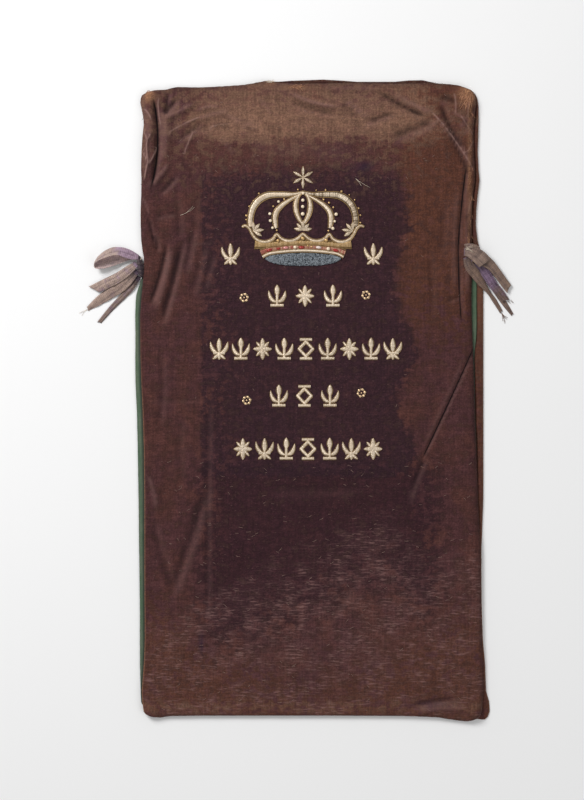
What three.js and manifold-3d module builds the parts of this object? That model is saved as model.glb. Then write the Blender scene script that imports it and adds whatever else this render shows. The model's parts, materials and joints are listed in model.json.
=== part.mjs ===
// Torah mantle laid flat: two velvet panels, a lining, ribbon ties and padded
// metal-thread embroidery.
// Millimetres. X runs across the mantle, Y up to its top edge, Z off the table.
import * as THREE from 'three';
import { mergeVertices } from 'three/addons/utils/BufferGeometryUtils.js';
import Module from 'manifold-3d';

const wasm = await Module();
wasm.setup();

// Thicknesses of the cloths and of the padded embroidery
const VELVET = 2.4;
const LINING = 1.2;
const RIBBON = 1.0;
const PADDING = 1.5;
// Clearance kept between pieces that lie on each other
const GAP = 0.3;

// Heights of the layers as they lie
const BACK_TOP = VELVET;
const LINING_UNDER = BACK_TOP + GAP;
const LINING_TOP = LINING_UNDER + LINING;
const FRONT_TOP = 7.5;
const FRONT_LOWEST = LINING_TOP + GAP + VELVET;
const OPEN_EDGE_TOP = FRONT_LOWEST + 0.1;
const SEWN_EDGE_TOP = BACK_TOP + GAP + VELVET;
const HEM_EDGE_TOP = SEWN_EDGE_TOP + 0.2;
const HEM_STRIP_TOP = 3.9;
const SEWN_STRIP_TOP = 4.6;
const LINING_DROOP = 1.7;
const DROOP_OVERHANG = { from: 3.3, to: 4.1 };
const EMBROIDERY_UNDER = FRONT_TOP + GAP;
// A fold fades out over this share of its length at each end, and its line is read in steps
const FOLD_FADE = 0.2;
const FOLD_STEPS = 16;
// Points closer than this count as one
const SAME_POINT = 0.01;
const SAME_CORNER = 1e-4;

// The panels are sewn together above this band and open below it
const SLIT_END = { from: 176, to: 196 };
// The back panel's turned hem is flattened below this band, keeps to the lining's
// edge up to the ties and to the front panel's edge above them
const HEM_STRIP_END = { from: -398, to: -384 };
const HEM_STRIP_SHIFT = { from: 176, to: 196 };
const OPEN_STRIP_START = 214.4;
const STRIP_CLEARANCE = 1.6;
const STRIP_LEAST_WIDTH = 0.8;
// The lining stops short of the top edge and of the hem
const LINING_ENDS = { bottom: -393, top: 393 };
// The side edges, as straight lines, for reading the slope of the top edge and the hem
const STRAIGHT_SIDES = { left: -217, right: 214 };
// The embroidered field is flat between these lines
const FIELD = { left: -141, right: 135, bottom: -88, top: 308, blend: 14 };

// Colours of the materials
const VELVET_COLOUR = 0x4f3236;
const LINING_COLOUR = 0x566a54;
const RIBBON_COLOUR = 0x8d7468;
const KNOT_COLOUR = 0x5a4654;
const THREAD_COLOUR = 0xb9a684;
const BULLION_COLOUR = 0x56616c;

// Turns rows of numbers into rows with named columns
function table(names, rows) {
  return rows.map((row) => Object.fromEntries(names.map((name, i) => [name, row[i]])));
}

// Where each edge lies across the mantle at a distance y up its length
const SIDES = table(
  ['y', 'frontLeft', 'frontRight', 'backLeft', 'backRight', 'liningLeft', 'liningRight'],
  [
    [-416, -201, 207, -199, 221, -201, 200],
    [-409, -210, 218, -208, 228.5, -208, 209],
    [-402, -216, 220.5, -214.5, 231, -214, 213],
    [-390, -217.6, 221.4, -215.4, 230.5, -219.4, 213.9],
    [-376, -218.5, 223, -216, 226.5, -220.2, 213.9],
    [-338, -215.5, 222.3, -216.9, 225, -221.1, 213.9],
    [-309, -214.5, 220.5, -216.9, 222.3, -221.1, 213.9],
    [-257, -214.8, 219.5, -217, 220.6, -221.2, 213.9],
    [-193, -215, 219, -217.9, 220.4, -222.1, 213.9],
    [-128, -215, 215.5, -218.6, 222.8, -222.8, 213.9],
    [-64, -215.6, 213.4, -219.7, 222.8, -223.9, 213.9],
    [-25, -216.8, 211.6, -220.4, 222.8, -224.6, 213.9],
    [26, -219, 210.5, -222.7, 222.8, -226.9, 213.9],
    [65, -220.3, 209, -222.8, 222.8, -227, 213.9],
    [110, -220.5, 207.4, -222.9, 222.8, -227.1, 213.9],
    [134, -218.8, 207.3, -222, 222.8, -226.5, 213.9],
    [147, -217.4, 207.5, -219.4, 222.6, -222.2, 213.9],
    [153, -217, 207.6, -216.2, 222.4, -215.5, 213.9],
    [160, -216.4, 207.8, -216.4, 222, -213, 213.7],
    [170, -215.6, 208, -215.8, 221.6, -212.2, 206.5],
    [184, -215.8, 208.3, -215.8, 220.6, -212.4, 204.9],
    [194, -217.6, 208.3, -217.6, 218.6, -214, 204.8],
    [207, -219.3, 207.7, -219.3, 215.5, -215.8, 204.2],
    [226, -220, 207.5, -220, 213.2, -216.6, 204],
    [245, -220, 208, -220, 213.8, -216.6, 204.4],
    [265, -219.3, 209, -219.5, 215.6, -215.8, 205.4],
    [284, -219, 212, -219.2, 218, -215.4, 208.4],
    [300, -219.5, 211.5, -219.5, 216.6, -216, 208],
    [323, -218.8, 210.5, -219, 215.6, -215.2, 207],
    [342, -216, 209.8, -216.5, 216.4, -212.4, 206.2],
    [360, -217.5, 211, -218, 216.8, -214, 207.4],
    [384, -219.5, 213, -219.5, 216.6, -214, 207],
    [391, -217.5, 211.6, -217.7, 214.6, -210, 205],
    [396, -215, 208.6, -215.2, 211.6, -206, 201],
    [401, -210.5, 203.5, -211, 205.5, -200, 195],
    [406, -203, 196, -204, 198, -192, 188],
  ],
);

// How far up the top edges and down the bottom edges reach at a place x across
const ENDS = table(
  ['x', 'frontTop', 'backTop', 'frontBottom', 'backBottom'],
  [
    [-218, 393, 393.5, -404, -402],
    [-212, 398.5, 399, -408.5, -406],
    [-202, 401.5, 402, -409.6, -407],
    [-187, 404, 404.5, -407.6, -405.5],
    [-143, 405, 405.2, -407, -405],
    [-91, 407.5, 407.6, -407, -405],
    [-58, 413, 412, -407, -405],
    [-44, 410, 412, -407, -405],
    [-24, 409, 413.5, -407, -405],
    [22, 409.4, 415, -407, -405],
    [65, 409.4, 412, -407.2, -405],
    [118, 409, 412, -407.5, -405.4],
    [148, 409.4, 415, -408.6, -406.4],
    [162, 409.4, 413, -409.4, -407.4],
    [176, 407.4, 408.6, -411.4, -408.6],
    [194, 405, 405.4, -413.6, -410.4],
    [206, 399.5, 401, -414.5, -412],
    [213, 393, 395, -412, -412.6],
    [224, 384, 386, -404, -410],
  ],
);

// Broad slack places of the front panel: centre, reach and rise
const SWELLS = table(
  ['x', 'y', 'across', 'along', 'rise'],
  [
    [-210, 335, 11, 62, 4.6],
    [-176, 345, 24, 62, 1.9],
    [-209, 386, 13, 15, 3.2],
    [-208, 236, 10, 42, 2.2],
    [-181, 166, 14, 46, 1.8],
    [202, 378, 16, 18, 4.6],
    [201, 268, 8, 58, 2.6],
    [176, 236, 12, 92, 2.2],
    [168, 350, 32, 44, 1.8],
    [70, 372, 52, 26, 1.5],
    [-92, 372, 56, 26, 1.1],
    [200, 92, 12, 60, 1.6],
    [190, -20, 22, 58, 1.6],
    [214, -398, 14, 15, 3.4],
    [-208, -400, 13, 10, 2.2],
    [-203, -112, 12, 46, 1.5],
    [-180, -236, 24, 66, 1.1],
    [176, -300, 34, 80, 1.0],
  ],
);

// Main folds of the front panel: a bent line from start by bend to end, its rise
// (negative in a trough) and how far it reaches to each side
const FOLDS = table(
  ['startX', 'startY', 'bendX', 'bendY', 'endX', 'endY', 'rise', 'reach'],
  [
    [-204, 392, -189, 332, -208, 278, -4.8, 6],
    [-214, 274, -196, 282, -180, 312, 2.4, 6],
    [-186, 190, -195, 158, -210, 136, -2.6, 6],
    [-166, 196, -180, 149, -196, 102, -1.8, 6],
    [200, 298, 186, 200, 193, 106, -3.6, 5],
    [208, 66, 183, 2, 146, -76, 2.4, 8],
    [206, 48, 186, -14, 152, -84, -2.2, 7],
    [-27, 398, -6, 382, 42, 378, 2.2, 9],
    [84, 400, 111, 381, 150, 365, -2.2, 9],
    [106, 400, 132, 380, 162, 370, 1.8, 9],
    [160, 367, 187, 341, 212, 294, 2.6, 7],
    [166, 386, 176, 349, 198, 324, -2.2, 6],
    [130, -394, 158, -385, 190, -384, 1.3, 9],
    [-210, -94, -202, -116, -198, -146, 1.4, 7],
    [-136, -102, -156, -180, -188, -262, -1.1, 12],
  ],
);

// Grid lines across and along each cloth: bands as shares, with their steps
const FRONT_COLUMNS = gridLines([[0.008, 1], [0.072, 6], [0.1, 4], [0.64, 7],
  [0.1, 4], [0.072, 6], [0.008, 1]]);
const FRONT_ROWS = gridLines([[0.01, 1], [0.04, 2], [0.342, 8], [0.479, 15], [0.119, 7], [0.01, 1]]);
const BACK_COLUMNS = gridLines([[0.97, 5], [0.002, 1], [0.028, 1]]);
const BACK_ROWS = gridLines([[0.03, 2], [0.6, 9], [0.12, 6], [0.22, 6], [0.03, 2]]);
const LINING_COLUMNS = gridLines([[0.007, 1], [0.986, 4], [0.007, 1]]);
const LINING_ROWS = gridLines([[0.62, 9], [0.1, 8], [0.28, 5]]);

// Ribbons as they lie: centre line, width, lean of the cloth from flat in degrees
// and the height of the crease along its middle
const RIBBON_COLUMNS = ['x', 'y', 'z', 'width', 'lean', 'crease'];
const RIBBONS = {
  tie_left_loop: table(RIBBON_COLUMNS, [
    [-222.2, 187.5, 7.2, 5, 35, 0.4],
    [-229.5, 188.8, 8.6, 10, 30, 0.8],
    [-238.2, 192.6, 10.6, 12, 35, 1],
    [-247.5, 194.2, 11.8, 12, 45, 0.8],
    [-257.2, 193.2, 11.8, 12, 52, 0.6],
    [-267, 188.4, 10.6, 12, 60, 0.4],
    [-275.2, 182.4, 9, 11, 72, 0.2],
    [-279.6, 177.6, 7.4, 10.5, 90, 0],
    [-278.6, 173.4, 6.2, 10.5, 118, 0.2],
    [-271.4, 173.2, 4.6, 11, 148, 0.4],
    [-263, 176.2, 3.6, 11.5, 158, 0.6],
    [-255, 178.8, 3.2, 10.5, 164, 0.6],
    [-246, 180.9, 3, 7.6, 166, 0.4],
    [-236.8, 182.7, 3, 5, 168, 0.2],
    [-228, 184, 3.2, 4, 170, 0],
  ]),
  tie_left_tail_a: table(RIBBON_COLUMNS, [
    [-224.7, 176.4, 8.2, 7, 12, 0.4],
    [-233.5, 169.6, 7.4, 11, 8, 0.8],
    [-249, 158.8, 5.4, 13, 6, 1],
    [-264.5, 151.1, 4, 13.4, 4, 0.9],
    [-284.6, 141.4, 3, 12.8, 3, 0.6],
  ]),
  tie_left_tail_b: table(RIBBON_COLUMNS, [
    [-224.2, 167.4, 6, 7, -4, 0.3],
    [-233.5, 158.1, 5, 12, -3, 0.6],
    [-244.4, 148, 3.4, 14, -2, 0.8],
    [-256.7, 140.3, 2, 14, -2, 0.8],
    [-272.2, 130.2, 1.2, 12, 0, 0.6],
    [-289.6, 117.8, 0.8, 5, 0, 0.3],
  ]),
  tie_left_tail_c: table(RIBBON_COLUMNS, [
    [-222.8, 160.6, 2.6, 7, 4, 0.7],
    [-233.5, 144.9, 1.6, 9, 2, 1],
    [-242.8, 134.8, 1.1, 8, 0, 1.2],
    [-255.2, 122.2, 0.8, 7, 0, 1.4],
    [-266, 110.1, 0.7, 6, 0, 1.3],
    [-274.5, 99.7, 0.6, 5, 0, 1],
  ]),
  tie_right_tail_a: table(RIBBON_COLUMNS, [
    [208.8, 186.6, 12.6, 15.6, -4, 1.2],
    [220.5, 182, 10.2, 16.5, -12, 1.4],
    [231.4, 175.1, 7.6, 13.5, -14, 1.2],
    [240.6, 164.2, 5.6, 11.4, -10, 0.9],
    [249.2, 152.6, 4.2, 11, -6, 0.7],
    [257.7, 141.8, 3.2, 10.5, -4, 0.5],
  ]),
  tie_right_tail_b: table(RIBBON_COLUMNS, [
    [213.6, 179.6, 9.6, 12, -6, 0.6],
    [220.5, 171.6, 7.4, 13.5, -10, 0.8],
    [228.3, 161.2, 5.4, 13, -10, 1.1],
    [236, 150.3, 3.9, 13, -7, 1.1],
    [245.3, 138.7, 3.1, 12.6, -4, 0.9],
    [253.8, 127.9, 2.8, 9, -2, 0.6],
  ]),
  tie_right_tail_c: table(RIBBON_COLUMNS, [
    [225.6, 158.6, 3.2, 7.6, -4, 0.3],
    [234.4, 148.6, 2, 8, -2, 0.4],
    [244.6, 133.8, 1, 7.6, 0, 0.5],
    [253.4, 121, 0.8, 6, 0, 0.4],
    [261.1, 110.1, 0.6, 3.5, 0, 0.2],
  ]),
  tie_right_tail_d: table(RIBBON_COLUMNS, [
    [199.4, 183.4, 11, 7, 8, 0.8],
    [203.2, 172.6, 10.4, 8.6, 6, 1],
    [211, 161.8, 8.8, 9, 0, 1],
    [219.4, 151.2, 6.3, 8, -3, 0.8],
    [229, 140.6, 3.2, 5.2, -4, 0.8],
    [238, 127.9, 1.4, 5.4, -2, 0.6],
    [246.8, 113.4, 0.9, 4.4, 0, 0.4],
  ]),
};
const RIBBON_STEPS = { tie_left_loop: 20 };
const TAIL_STEPS = 8;

// Knots of the ties: centre, half sizes, turn in plan and ridges along the length
const KNOTS = {
  tie_left_knot: { x: -219.9, y: 175.6, z: 6, long: 14.4, wide: 3.3, high: 5.4, turn: 93, ridges: 5 },
  tie_right_knot: { x: 207.4, y: 198.4, z: 11.4, long: 10.6, wide: 4, high: 3.4, turn: -12, ridges: 4 },
};
const KNOT_SIDES = 8;
const KNOT_RIDGE_DEPTH = 0.12;

// Crown: its middle on the front panel, then centre lines with their widths.
// Each arch is drawn on the left and mirrored.
const CROWN = { x: -10.3, y: 183.2 };
const STROKE = ['x', 'y', 'width'];
const CROWN_ARCHES = {
  outer: table(STROKE, [
    [-68, 45.4, 7.2], [-67.2, 56, 7.2], [-63.6, 67, 8], [-56.4, 75.6, 8.5], [-46, 81.2, 8.3],
    [-34.6, 82.4, 7.2], [-23.4, 82.4, 6.6], [-11.6, 83, 3.8], [0.8, 85.4, 2.8],
  ]),
  inner: table(STROKE, [
    [-2.4, 84.2, 2.6], [-8.4, 80.4, 3], [-18.2, 74.8, 4], [-27.8, 68, 5.6], [-34, 60.8, 6.4],
    [-36.2, 53.6, 6.8], [-35.9, 46.4, 6], [-34.8, 38.8, 4],
  ]),
  centre: table(STROKE, [
    [-1.6, 84.6, 2.6], [-5.6, 80.6, 3.2], [-8.8, 73.4, 5.2], [-9.5, 65.6, 5.8], [-7.8, 57.4, 5.4],
    [-4.4, 50, 4.4],
  ]),
};
const CIRCLET_STROKES = {
  scallops: table(STROKE, [
    [-79, 40.6, 1.6], [-74.6, 42.4, 2.8], [-69.2, 38.6, 3], [-65.6, 31.6, 3], [-60.4, 25, 3.4],
    [-52.6, 21.4, 4], [-45, 21.8, 4], [-38.6, 25.2, 3.4], [-33.8, 31.2, 2.8], [-28.6, 26, 3.4],
    [-21.4, 22.8, 4], [-13, 23, 4], [-5.6, 26.8, 3.4], [0, 31.4, 3],
  ]),
  goldBand: table(STROKE, [
    [-62.2, 18.6, 12], [-50, 17.2, 7.2], [-32, 18.8, 7.6], [-14, 20, 6], [0, 20.4, 7.4],
  ]),
  jewelBand: table(STROKE, [
    [-54.6, 7.2, 7], [-44, 11, 6.8], [-22, 13.6, 6.6], [0, 14.4, 6.6],
  ]),
  cordRim: table(STROKE, [
    [-52.4, 2, 3], [-44.4, 6, 3.4], [-33.2, 8, 3.6], [-16.8, 9.6, 3.6], [0, 10.2, 3.6],
  ]),
};
const UNDERSIDE = table(['x', 'upper', 'lower'], [
  [-49, 0.6, -0.8], [-40.6, 4.2, -5.4], [-28, 5.8, -8.6], [-14, 7.2, -9.8], [0, 7.7, -10],
]);
const STAR = { x: 0, y: 104.6, petals: 6, length: 15, width: 5 };
// Three-lobed leaf clusters: root, direction of the middle lobe and lengths
const LEAF_CLUSTERS = {
  crown_leaves_left: { x: -63.2, y: 34.6, turn: 5, long: 12.4, lobes: [0, 48, -38] },
  crown_leaves_middle: { x: 0, y: 35.6, turn: 90, long: 13.4, lobes: [0, 62, 95, -62, -95] },
  crown_leaves_right: { x: 63.2, y: 34.6, turn: 175, long: 12.4, lobes: [0, -48, 38] },
};
const LOBE = { width: 4.6, sideShare: 0.74 };

// Padded figures: strokes from one point to another by a bend, drawn on the
// right side and mirrored where they leave the middle line
const FIGURE_STROKE = ['form', 'x0', 'y0', 'bendX', 'bendY', 'x1', 'y1', 'width'];
const FIGURES = {
  sprig: table(FIGURE_STROKE, [
    ['leaf', 0, 0, 0, 7, 0, 14.4, 7],
    ['bar', 0, -12, 0, -4, 0, 4, 3.6],
    ['leaf', 0, -7.4, 9.4, -7.6, 10.8, 7, 5],
    ['bar', -8.6, -12, 0, -12, 8.6, -12, 3.6],
  ]),
  quatrefoil: table(FIGURE_STROKE, [
    ['leaf', 0, -1, 0, 6, 0, 14, 6.6],
    ['leaf', 0, 1, 0, -6, 0, -14, 6.6],
    ['leaf', -1, 0, 5, 0, 12, 0, 6],
    ['leaf', 0.4, 0.3, 4.2, 4.6, 8.2, 9.2, 3.6],
    ['leaf', 0.4, -0.3, 4.2, -4.6, 8.2, -9.2, 3.6],
  ]),
  lily: table(FIGURE_STROKE, [
    ['leaf', 0, -5, 0, 5, 0, 14, 6.4],
    ['leaf', 0.5, -5, 9.6, -4.6, 11.2, 9.4, 5],
    ['bar', -7.6, -5.4, 0, -5.4, 7.6, -5.4, 3.4],
    ['leaf', 0, -3, 0, -9, 0, -14, 5],
    ['leaf', 0.5, -5.4, 3.6, -10.4, 8.4, -13, 3.8],
  ]),
  lozenge: table(FIGURE_STROKE, [
    ['bar', -1, 10.4, 4, 5.4, 9.6, -0.8, 3.8],
    ['bar', -1, -10.4, 4, -5.4, 9.6, 0.8, 3.8],
    ['bar', -8, 12.2, 0, 12.2, 8, 12.2, 3.6],
    ['bar', -8, -12.2, 0, -12.2, 8, -12.2, 3.6],
  ]),
};
// A stroke whose ends balance about the middle line isn't mirrored
const MIDDLE_TOLERANCE = 0.1;
// Rows of figures on the front panel: middle, pitch and order from the left
const FIGURE_ROWS = [
  { x: -11.7, y: 188.7, pitch: 184.2, kinds: ['lily', 'lily'] },
  { x: -7.7, y: 134.8, pitch: 36, kinds: ['sprig', 'quatrefoil', 'sprig'] },
  {
    x: -6.5,
    y: 66.4,
    pitch: 28,
    kinds: ['lily', 'sprig', 'quatrefoil', 'sprig', 'lozenge', 'sprig', 'quatrefoil', 'sprig', 'lily'],
  },
  { x: -8.4, y: 5.8, pitch: 33, kinds: ['sprig', 'lozenge', 'sprig'] },
  {
    x: -3.9,
    y: -62.6,
    pitch: 28,
    kinds: ['quatrefoil', 'lily', 'sprig', 'lozenge', 'sprig', 'lily', 'quatrefoil'],
  },
];
const ROSETTES = table(['x', 'y'], [[-86.2, 132.7], [71, 136], [-82.9, 0.1], [65, 9.7]]);
const ROSETTE = { radius: 5.6, scallop: 1.6, petals: 6, points: 18 };

// Helpers for numbers
function gridLines(bands) {
  const lines = [0];
  let from = 0;
  for (const [share, steps] of bands) {
    for (let i = 1; i <= steps; i += 1) lines.push(from + (share * i) / steps);
    from += share;
  }
  return lines.map((line) => line / from);
}

function smooth(low, high, value) {
  return THREE.MathUtils.smoothstep(value, low, high);
}

// Straight-line reading of a table's column
function read(rows, key, column, at) {
  const next = rows.findIndex((row) => row[key] >= at);
  if (next === 0) return rows[0][column];
  if (next < 0) return rows[rows.length - 1][column];
  const [low, high] = [rows[next - 1], rows[next]];
  const share = (at - low[key]) / (high[key] - low[key]);
  return THREE.MathUtils.lerp(low[column], high[column], share);
}

// Place of grid line (u, v) of a cloth whose edges are named columns of the tables
function placeOnCloth(left, right, bottom, top, u, v) {
  const middle = THREE.MathUtils.lerp(STRAIGHT_SIDES.left, STRAIGHT_SIDES.right, u);
  const y = THREE.MathUtils.lerp(bottom(middle), top(middle), v);
  const x = THREE.MathUtils.lerp(read(SIDES, 'y', left, y), read(SIDES, 'y', right, y), u);
  return [x, y];
}

// Nearest distance from a fold's line and how far along it that is
function nearestOnFold(fold, x, y) {
  let best = { distance: Infinity, along: 0 };
  for (let i = 0; i <= FOLD_STEPS; i += 1) {
    const t = i / FOLD_STEPS;
    const a = (1 - t) * (1 - t);
    const b = 2 * t * (1 - t);
    const c = t * t;
    const px = a * fold.startX + b * fold.bendX + c * fold.endX;
    const py = a * fold.startY + b * fold.bendY + c * fold.endY;
    const distance = Math.hypot(x - px, y - py);
    if (distance < best.distance) best = { distance, along: t };
  }
  return best;
}

// Height of the front panel's upper face
function frontHeight(x, y) {
  let rise = 0;
  for (const swell of SWELLS) {
    const reach = ((x - swell.x) / swell.across) ** 2 + ((y - swell.y) / swell.along) ** 2;
    rise += swell.rise * Math.exp(-reach);
  }
  for (const fold of FOLDS) {
    const { distance, along } = nearestOnFold(fold, x, y);
    const fade = smooth(0, FOLD_FADE, along) * smooth(0, FOLD_FADE, 1 - along);
    rise += fold.rise * fade * Math.exp(-((distance / fold.reach) ** 2));
  }
  const outside = Math.max(FIELD.left - x, x - FIELD.right, FIELD.bottom - y, y - FIELD.top);
  return Math.max(FRONT_TOP + rise * smooth(0, FIELD.blend, outside), FRONT_LOWEST);
}

// A closed sheet over a grid: place gives x and y, faces gives its lower and upper face
function sheetGeometry(columns, rows, place, faces) {
  const across = columns.length;
  const layer = across * rows.length;
  const upper = [];
  const lower = [];
  rows.forEach((v, j) => {
    columns.forEach((u, i) => {
      const [x, y] = place(u, v);
      const [under, top] = faces(x, y, i, j);
      upper.push(x, y, top);
      lower.push(x, y, under);
    });
  });
  const index = [];
  const rim = [];
  for (let j = 0; j < rows.length - 1; j += 1) {
    for (let i = 0; i < across - 1; i += 1) {
      const a = j * across + i;
      const b = a + 1;
      const c = b + across;
      const d = a + across;
      index.push(a, b, c, a, c, d);
      index.push(layer + a, layer + c, layer + b, layer + a, layer + d, layer + c);
    }
  }
  for (let i = 0; i < across - 1; i += 1) rim.push(i);
  for (let j = 0; j < rows.length - 1; j += 1) rim.push(j * across + across - 1);
  for (let i = across - 1; i > 0; i -= 1) rim.push((rows.length - 1) * across + i);
  for (let j = rows.length - 1; j > 0; j -= 1) rim.push(j * across);
  rim.forEach((a, k) => {
    const b = rim[(k + 1) % rim.length];
    index.push(layer + a, layer + b, b, layer + a, b, a);
  });
  const geometry = new THREE.BufferGeometry();
  geometry.setAttribute('position', new THREE.Float32BufferAttribute([...upper, ...lower], 3));
  geometry.setIndex(index);
  return geometry;
}

function frontPanelGeometry() {
  const place = (u, v) => placeOnCloth(
    'frontLeft',
    'frontRight',
    (x) => read(ENDS, 'x', 'frontBottom', x),
    (x) => read(ENDS, 'x', 'frontTop', x),
    u,
    v,
  );
  const faces = (x, y, i, j) => {
    const sewn = smooth(SLIT_END.from, SLIT_END.to, y);
    let top = frontHeight(x, y);
    if (i === 0 || i === FRONT_COLUMNS.length - 1) {
      top = THREE.MathUtils.lerp(OPEN_EDGE_TOP, SEWN_EDGE_TOP, sewn);
    }
    if (j === 0) top = HEM_EDGE_TOP;
    if (j === FRONT_ROWS.length - 1) top = SEWN_EDGE_TOP;
    return [top - VELVET, top];
  };
  return sheetGeometry(FRONT_COLUMNS, FRONT_ROWS, place, faces);
}

// The back panel's right hem is turned over and lies thicker outside the lining
function backPanelGeometry() {
  const flatColumns = BACK_COLUMNS.length - 3;
  const place = (u, v) => {
    const [x, y] = placeOnCloth(
      'backLeft',
      'backRight',
      (at) => read(ENDS, 'x', 'backBottom', at),
      (at) => read(ENDS, 'x', 'backTop', at),
      u,
      v,
    );
    const left = read(SIDES, 'y', 'backLeft', y);
    const right = read(SIDES, 'y', 'backRight', y);
    const sewn = read(SIDES, 'y', 'frontRight', y) + STRIP_CLEARANCE;
    const share = smooth(HEM_STRIP_SHIFT.from, HEM_STRIP_SHIFT.to, y);
    const start = Math.min(THREE.MathUtils.lerp(OPEN_STRIP_START, sewn, share), right - STRIP_LEAST_WIDTH);
    const column = BACK_COLUMNS.indexOf(u);
    if (column === BACK_COLUMNS.length - 1) return [right, y];
    if (column === BACK_COLUMNS.length - 2) return [start + GAP, y];
    return [THREE.MathUtils.lerp(left, start, column / flatColumns), y];
  };
  const faces = (x, y, i) => {
    const sewn = smooth(SLIT_END.from, SLIT_END.to, y);
    const thick = THREE.MathUtils.lerp(HEM_STRIP_TOP, SEWN_STRIP_TOP, sewn);
    const hem = THREE.MathUtils.lerp(BACK_TOP, thick, smooth(HEM_STRIP_END.from, HEM_STRIP_END.to, y));
    return [0, i > flatColumns ? hem : BACK_TOP];
  };
  return sheetGeometry(BACK_COLUMNS, BACK_ROWS, place, faces);
}

// The lining's left edge overhangs the back panel below the tie and droops there
function liningGeometry() {
  const place = (u, v) => placeOnCloth(
    'liningLeft',
    'liningRight',
    () => LINING_ENDS.bottom,
    () => LINING_ENDS.top,
    u,
    v,
  );
  const faces = (x, y, i) => {
    const overhang = read(SIDES, 'y', 'backLeft', y) - read(SIDES, 'y', 'liningLeft', y);
    const droop = i === 0 ? LINING_DROOP * smooth(DROOP_OVERHANG.from, DROOP_OVERHANG.to, overhang) : 0;
    return [LINING_UNDER - droop, LINING_TOP - droop];
  };
  return sheetGeometry(LINING_COLUMNS, LINING_ROWS, place, faces);
}

// A ribbon is a strip with a raised crease along its middle, swept along its stations
const RIBBON_RING = 6;
const RIBBON_CAP = [[0, 5, 1], [5, 4, 1], [1, 4, 2], [4, 3, 2]];

function ribbonGeometry(stations, steps) {
  const path = new THREE.CatmullRomCurve3(stations.map((s) => new THREE.Vector3(s.x, s.y, s.z)));
  const up = new THREE.Vector3(0, 0, 1);
  const positions = [];
  const index = [];
  for (let k = 0; k <= steps; k += 1) {
    const t = k / steps;
    const place = t * (stations.length - 1);
    const low = Math.min(Math.floor(place), stations.length - 2);
    const share = place - low;
    const at = (column) => THREE.MathUtils.lerp(stations[low][column], stations[low + 1][column], share);
    const centre = path.getPoint(t);
    const tangent = path.getTangent(t);
    const side = new THREE.Vector3().crossVectors(tangent, up).normalize();
    side.applyAxisAngle(tangent, THREE.MathUtils.degToRad(at('lean')));
    const normal = new THREE.Vector3().crossVectors(side, tangent).normalize();
    const half = at('width') / 2;
    const section = [
      [-half, -RIBBON / 2], [0, at('crease') - RIBBON / 2], [half, -RIBBON / 2],
      [half, RIBBON / 2], [0, at('crease') + RIBBON / 2], [-half, RIBBON / 2],
    ];
    for (const [across, off] of section) {
      const corner = centre.clone().addScaledVector(side, across).addScaledVector(normal, off);
      positions.push(corner.x, corner.y, corner.z);
    }
  }
  for (let k = 0; k < steps; k += 1) {
    for (let i = 0; i < RIBBON_RING; i += 1) {
      const a = k * RIBBON_RING + i;
      const b = k * RIBBON_RING + ((i + 1) % RIBBON_RING);
      index.push(a, b + RIBBON_RING, b, a, a + RIBBON_RING, b + RIBBON_RING);
    }
  }
  const last = steps * RIBBON_RING;
  for (const [a, b, c] of RIBBON_CAP) {
    index.push(a, c, b, last + a, last + b, last + c);
  }
  const geometry = new THREE.BufferGeometry();
  geometry.setAttribute('position', new THREE.Float32BufferAttribute(positions, 3));
  geometry.setIndex(index);
  return geometry;
}

// A knot is a lathe-turned form with ridges where the ribbon is wound round itself
function knotGeometry(knot) {
  const steps = knot.ridges * 2;
  const profile = [];
  for (let k = 0; k <= steps; k += 1) {
    const t = k / steps;
    const groove = (1 - Math.cos(t * knot.ridges * 2 * Math.PI)) / 2;
    const ridge = 1 - KNOT_RIDGE_DEPTH * groove;
    const radius = k === 0 || k === steps ? 0 : Math.sqrt(Math.sin(t * Math.PI)) * ridge;
    profile.push(new THREE.Vector2(radius, 2 * t - 1));
  }
  const geometry = new THREE.LatheGeometry(profile, KNOT_SIDES);
  geometry.rotateZ(-Math.PI / 2);
  geometry.scale(knot.long, knot.wide, knot.high);
  geometry.rotateZ(THREE.MathUtils.degToRad(knot.turn));
  return geometry;
}

// Outline of a stroke that widens and narrows along its centre line
function strokeShape(points) {
  const left = [];
  const right = [];
  points.forEach((point, i) => {
    const before = points[Math.max(i - 1, 0)];
    const after = points[Math.min(i + 1, points.length - 1)];
    const length = Math.hypot(after.x - before.x, after.y - before.y);
    const nx = (-(after.y - before.y) / length) * (point.width / 2);
    const ny = ((after.x - before.x) / length) * (point.width / 2);
    left.push(new THREE.Vector2(point.x + nx, point.y + ny));
    right.unshift(new THREE.Vector2(point.x - nx, point.y - ny));
  });
  return new THREE.Shape([...left, ...right].filter((p, i, all) => {
    const previous = all[(i + all.length - 1) % all.length];
    return p.distanceTo(previous) > SAME_POINT;
  }));
}

function solidFrom(geometry) {
  geometry.deleteAttribute('normal');
  geometry.deleteAttribute('uv');
  const merged = mergeVertices(geometry, SAME_CORNER);
  return new wasm.Manifold(new wasm.Mesh({
    numProp: 3,
    vertProperties: new Float32Array(merged.attributes.position.array),
    triVerts: new Uint32Array(merged.index.array),
  }));
}

function paddedSolid(shape) {
  return solidFrom(new THREE.ExtrudeGeometry(shape, { depth: PADDING, bevelEnabled: false }));
}

function geometryFrom(solid) {
  const mesh = solid.getMesh();
  const geometry = new THREE.BufferGeometry();
  geometry.setAttribute('position', new THREE.Float32BufferAttribute(mesh.vertProperties, 3));
  geometry.setIndex([...mesh.triVerts]);
  return geometry;
}

function mirrored(points) {
  return points.map((point) => ({ ...point, x: -point.x })).reverse();
}

// Several strokes of padding fused into one figure
function fusedStrokes(strokes) {
  return geometryFrom(strokes.map((points) => paddedSolid(strokeShape(points)))
    .reduce((all, solid) => all.add(solid)));
}

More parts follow.
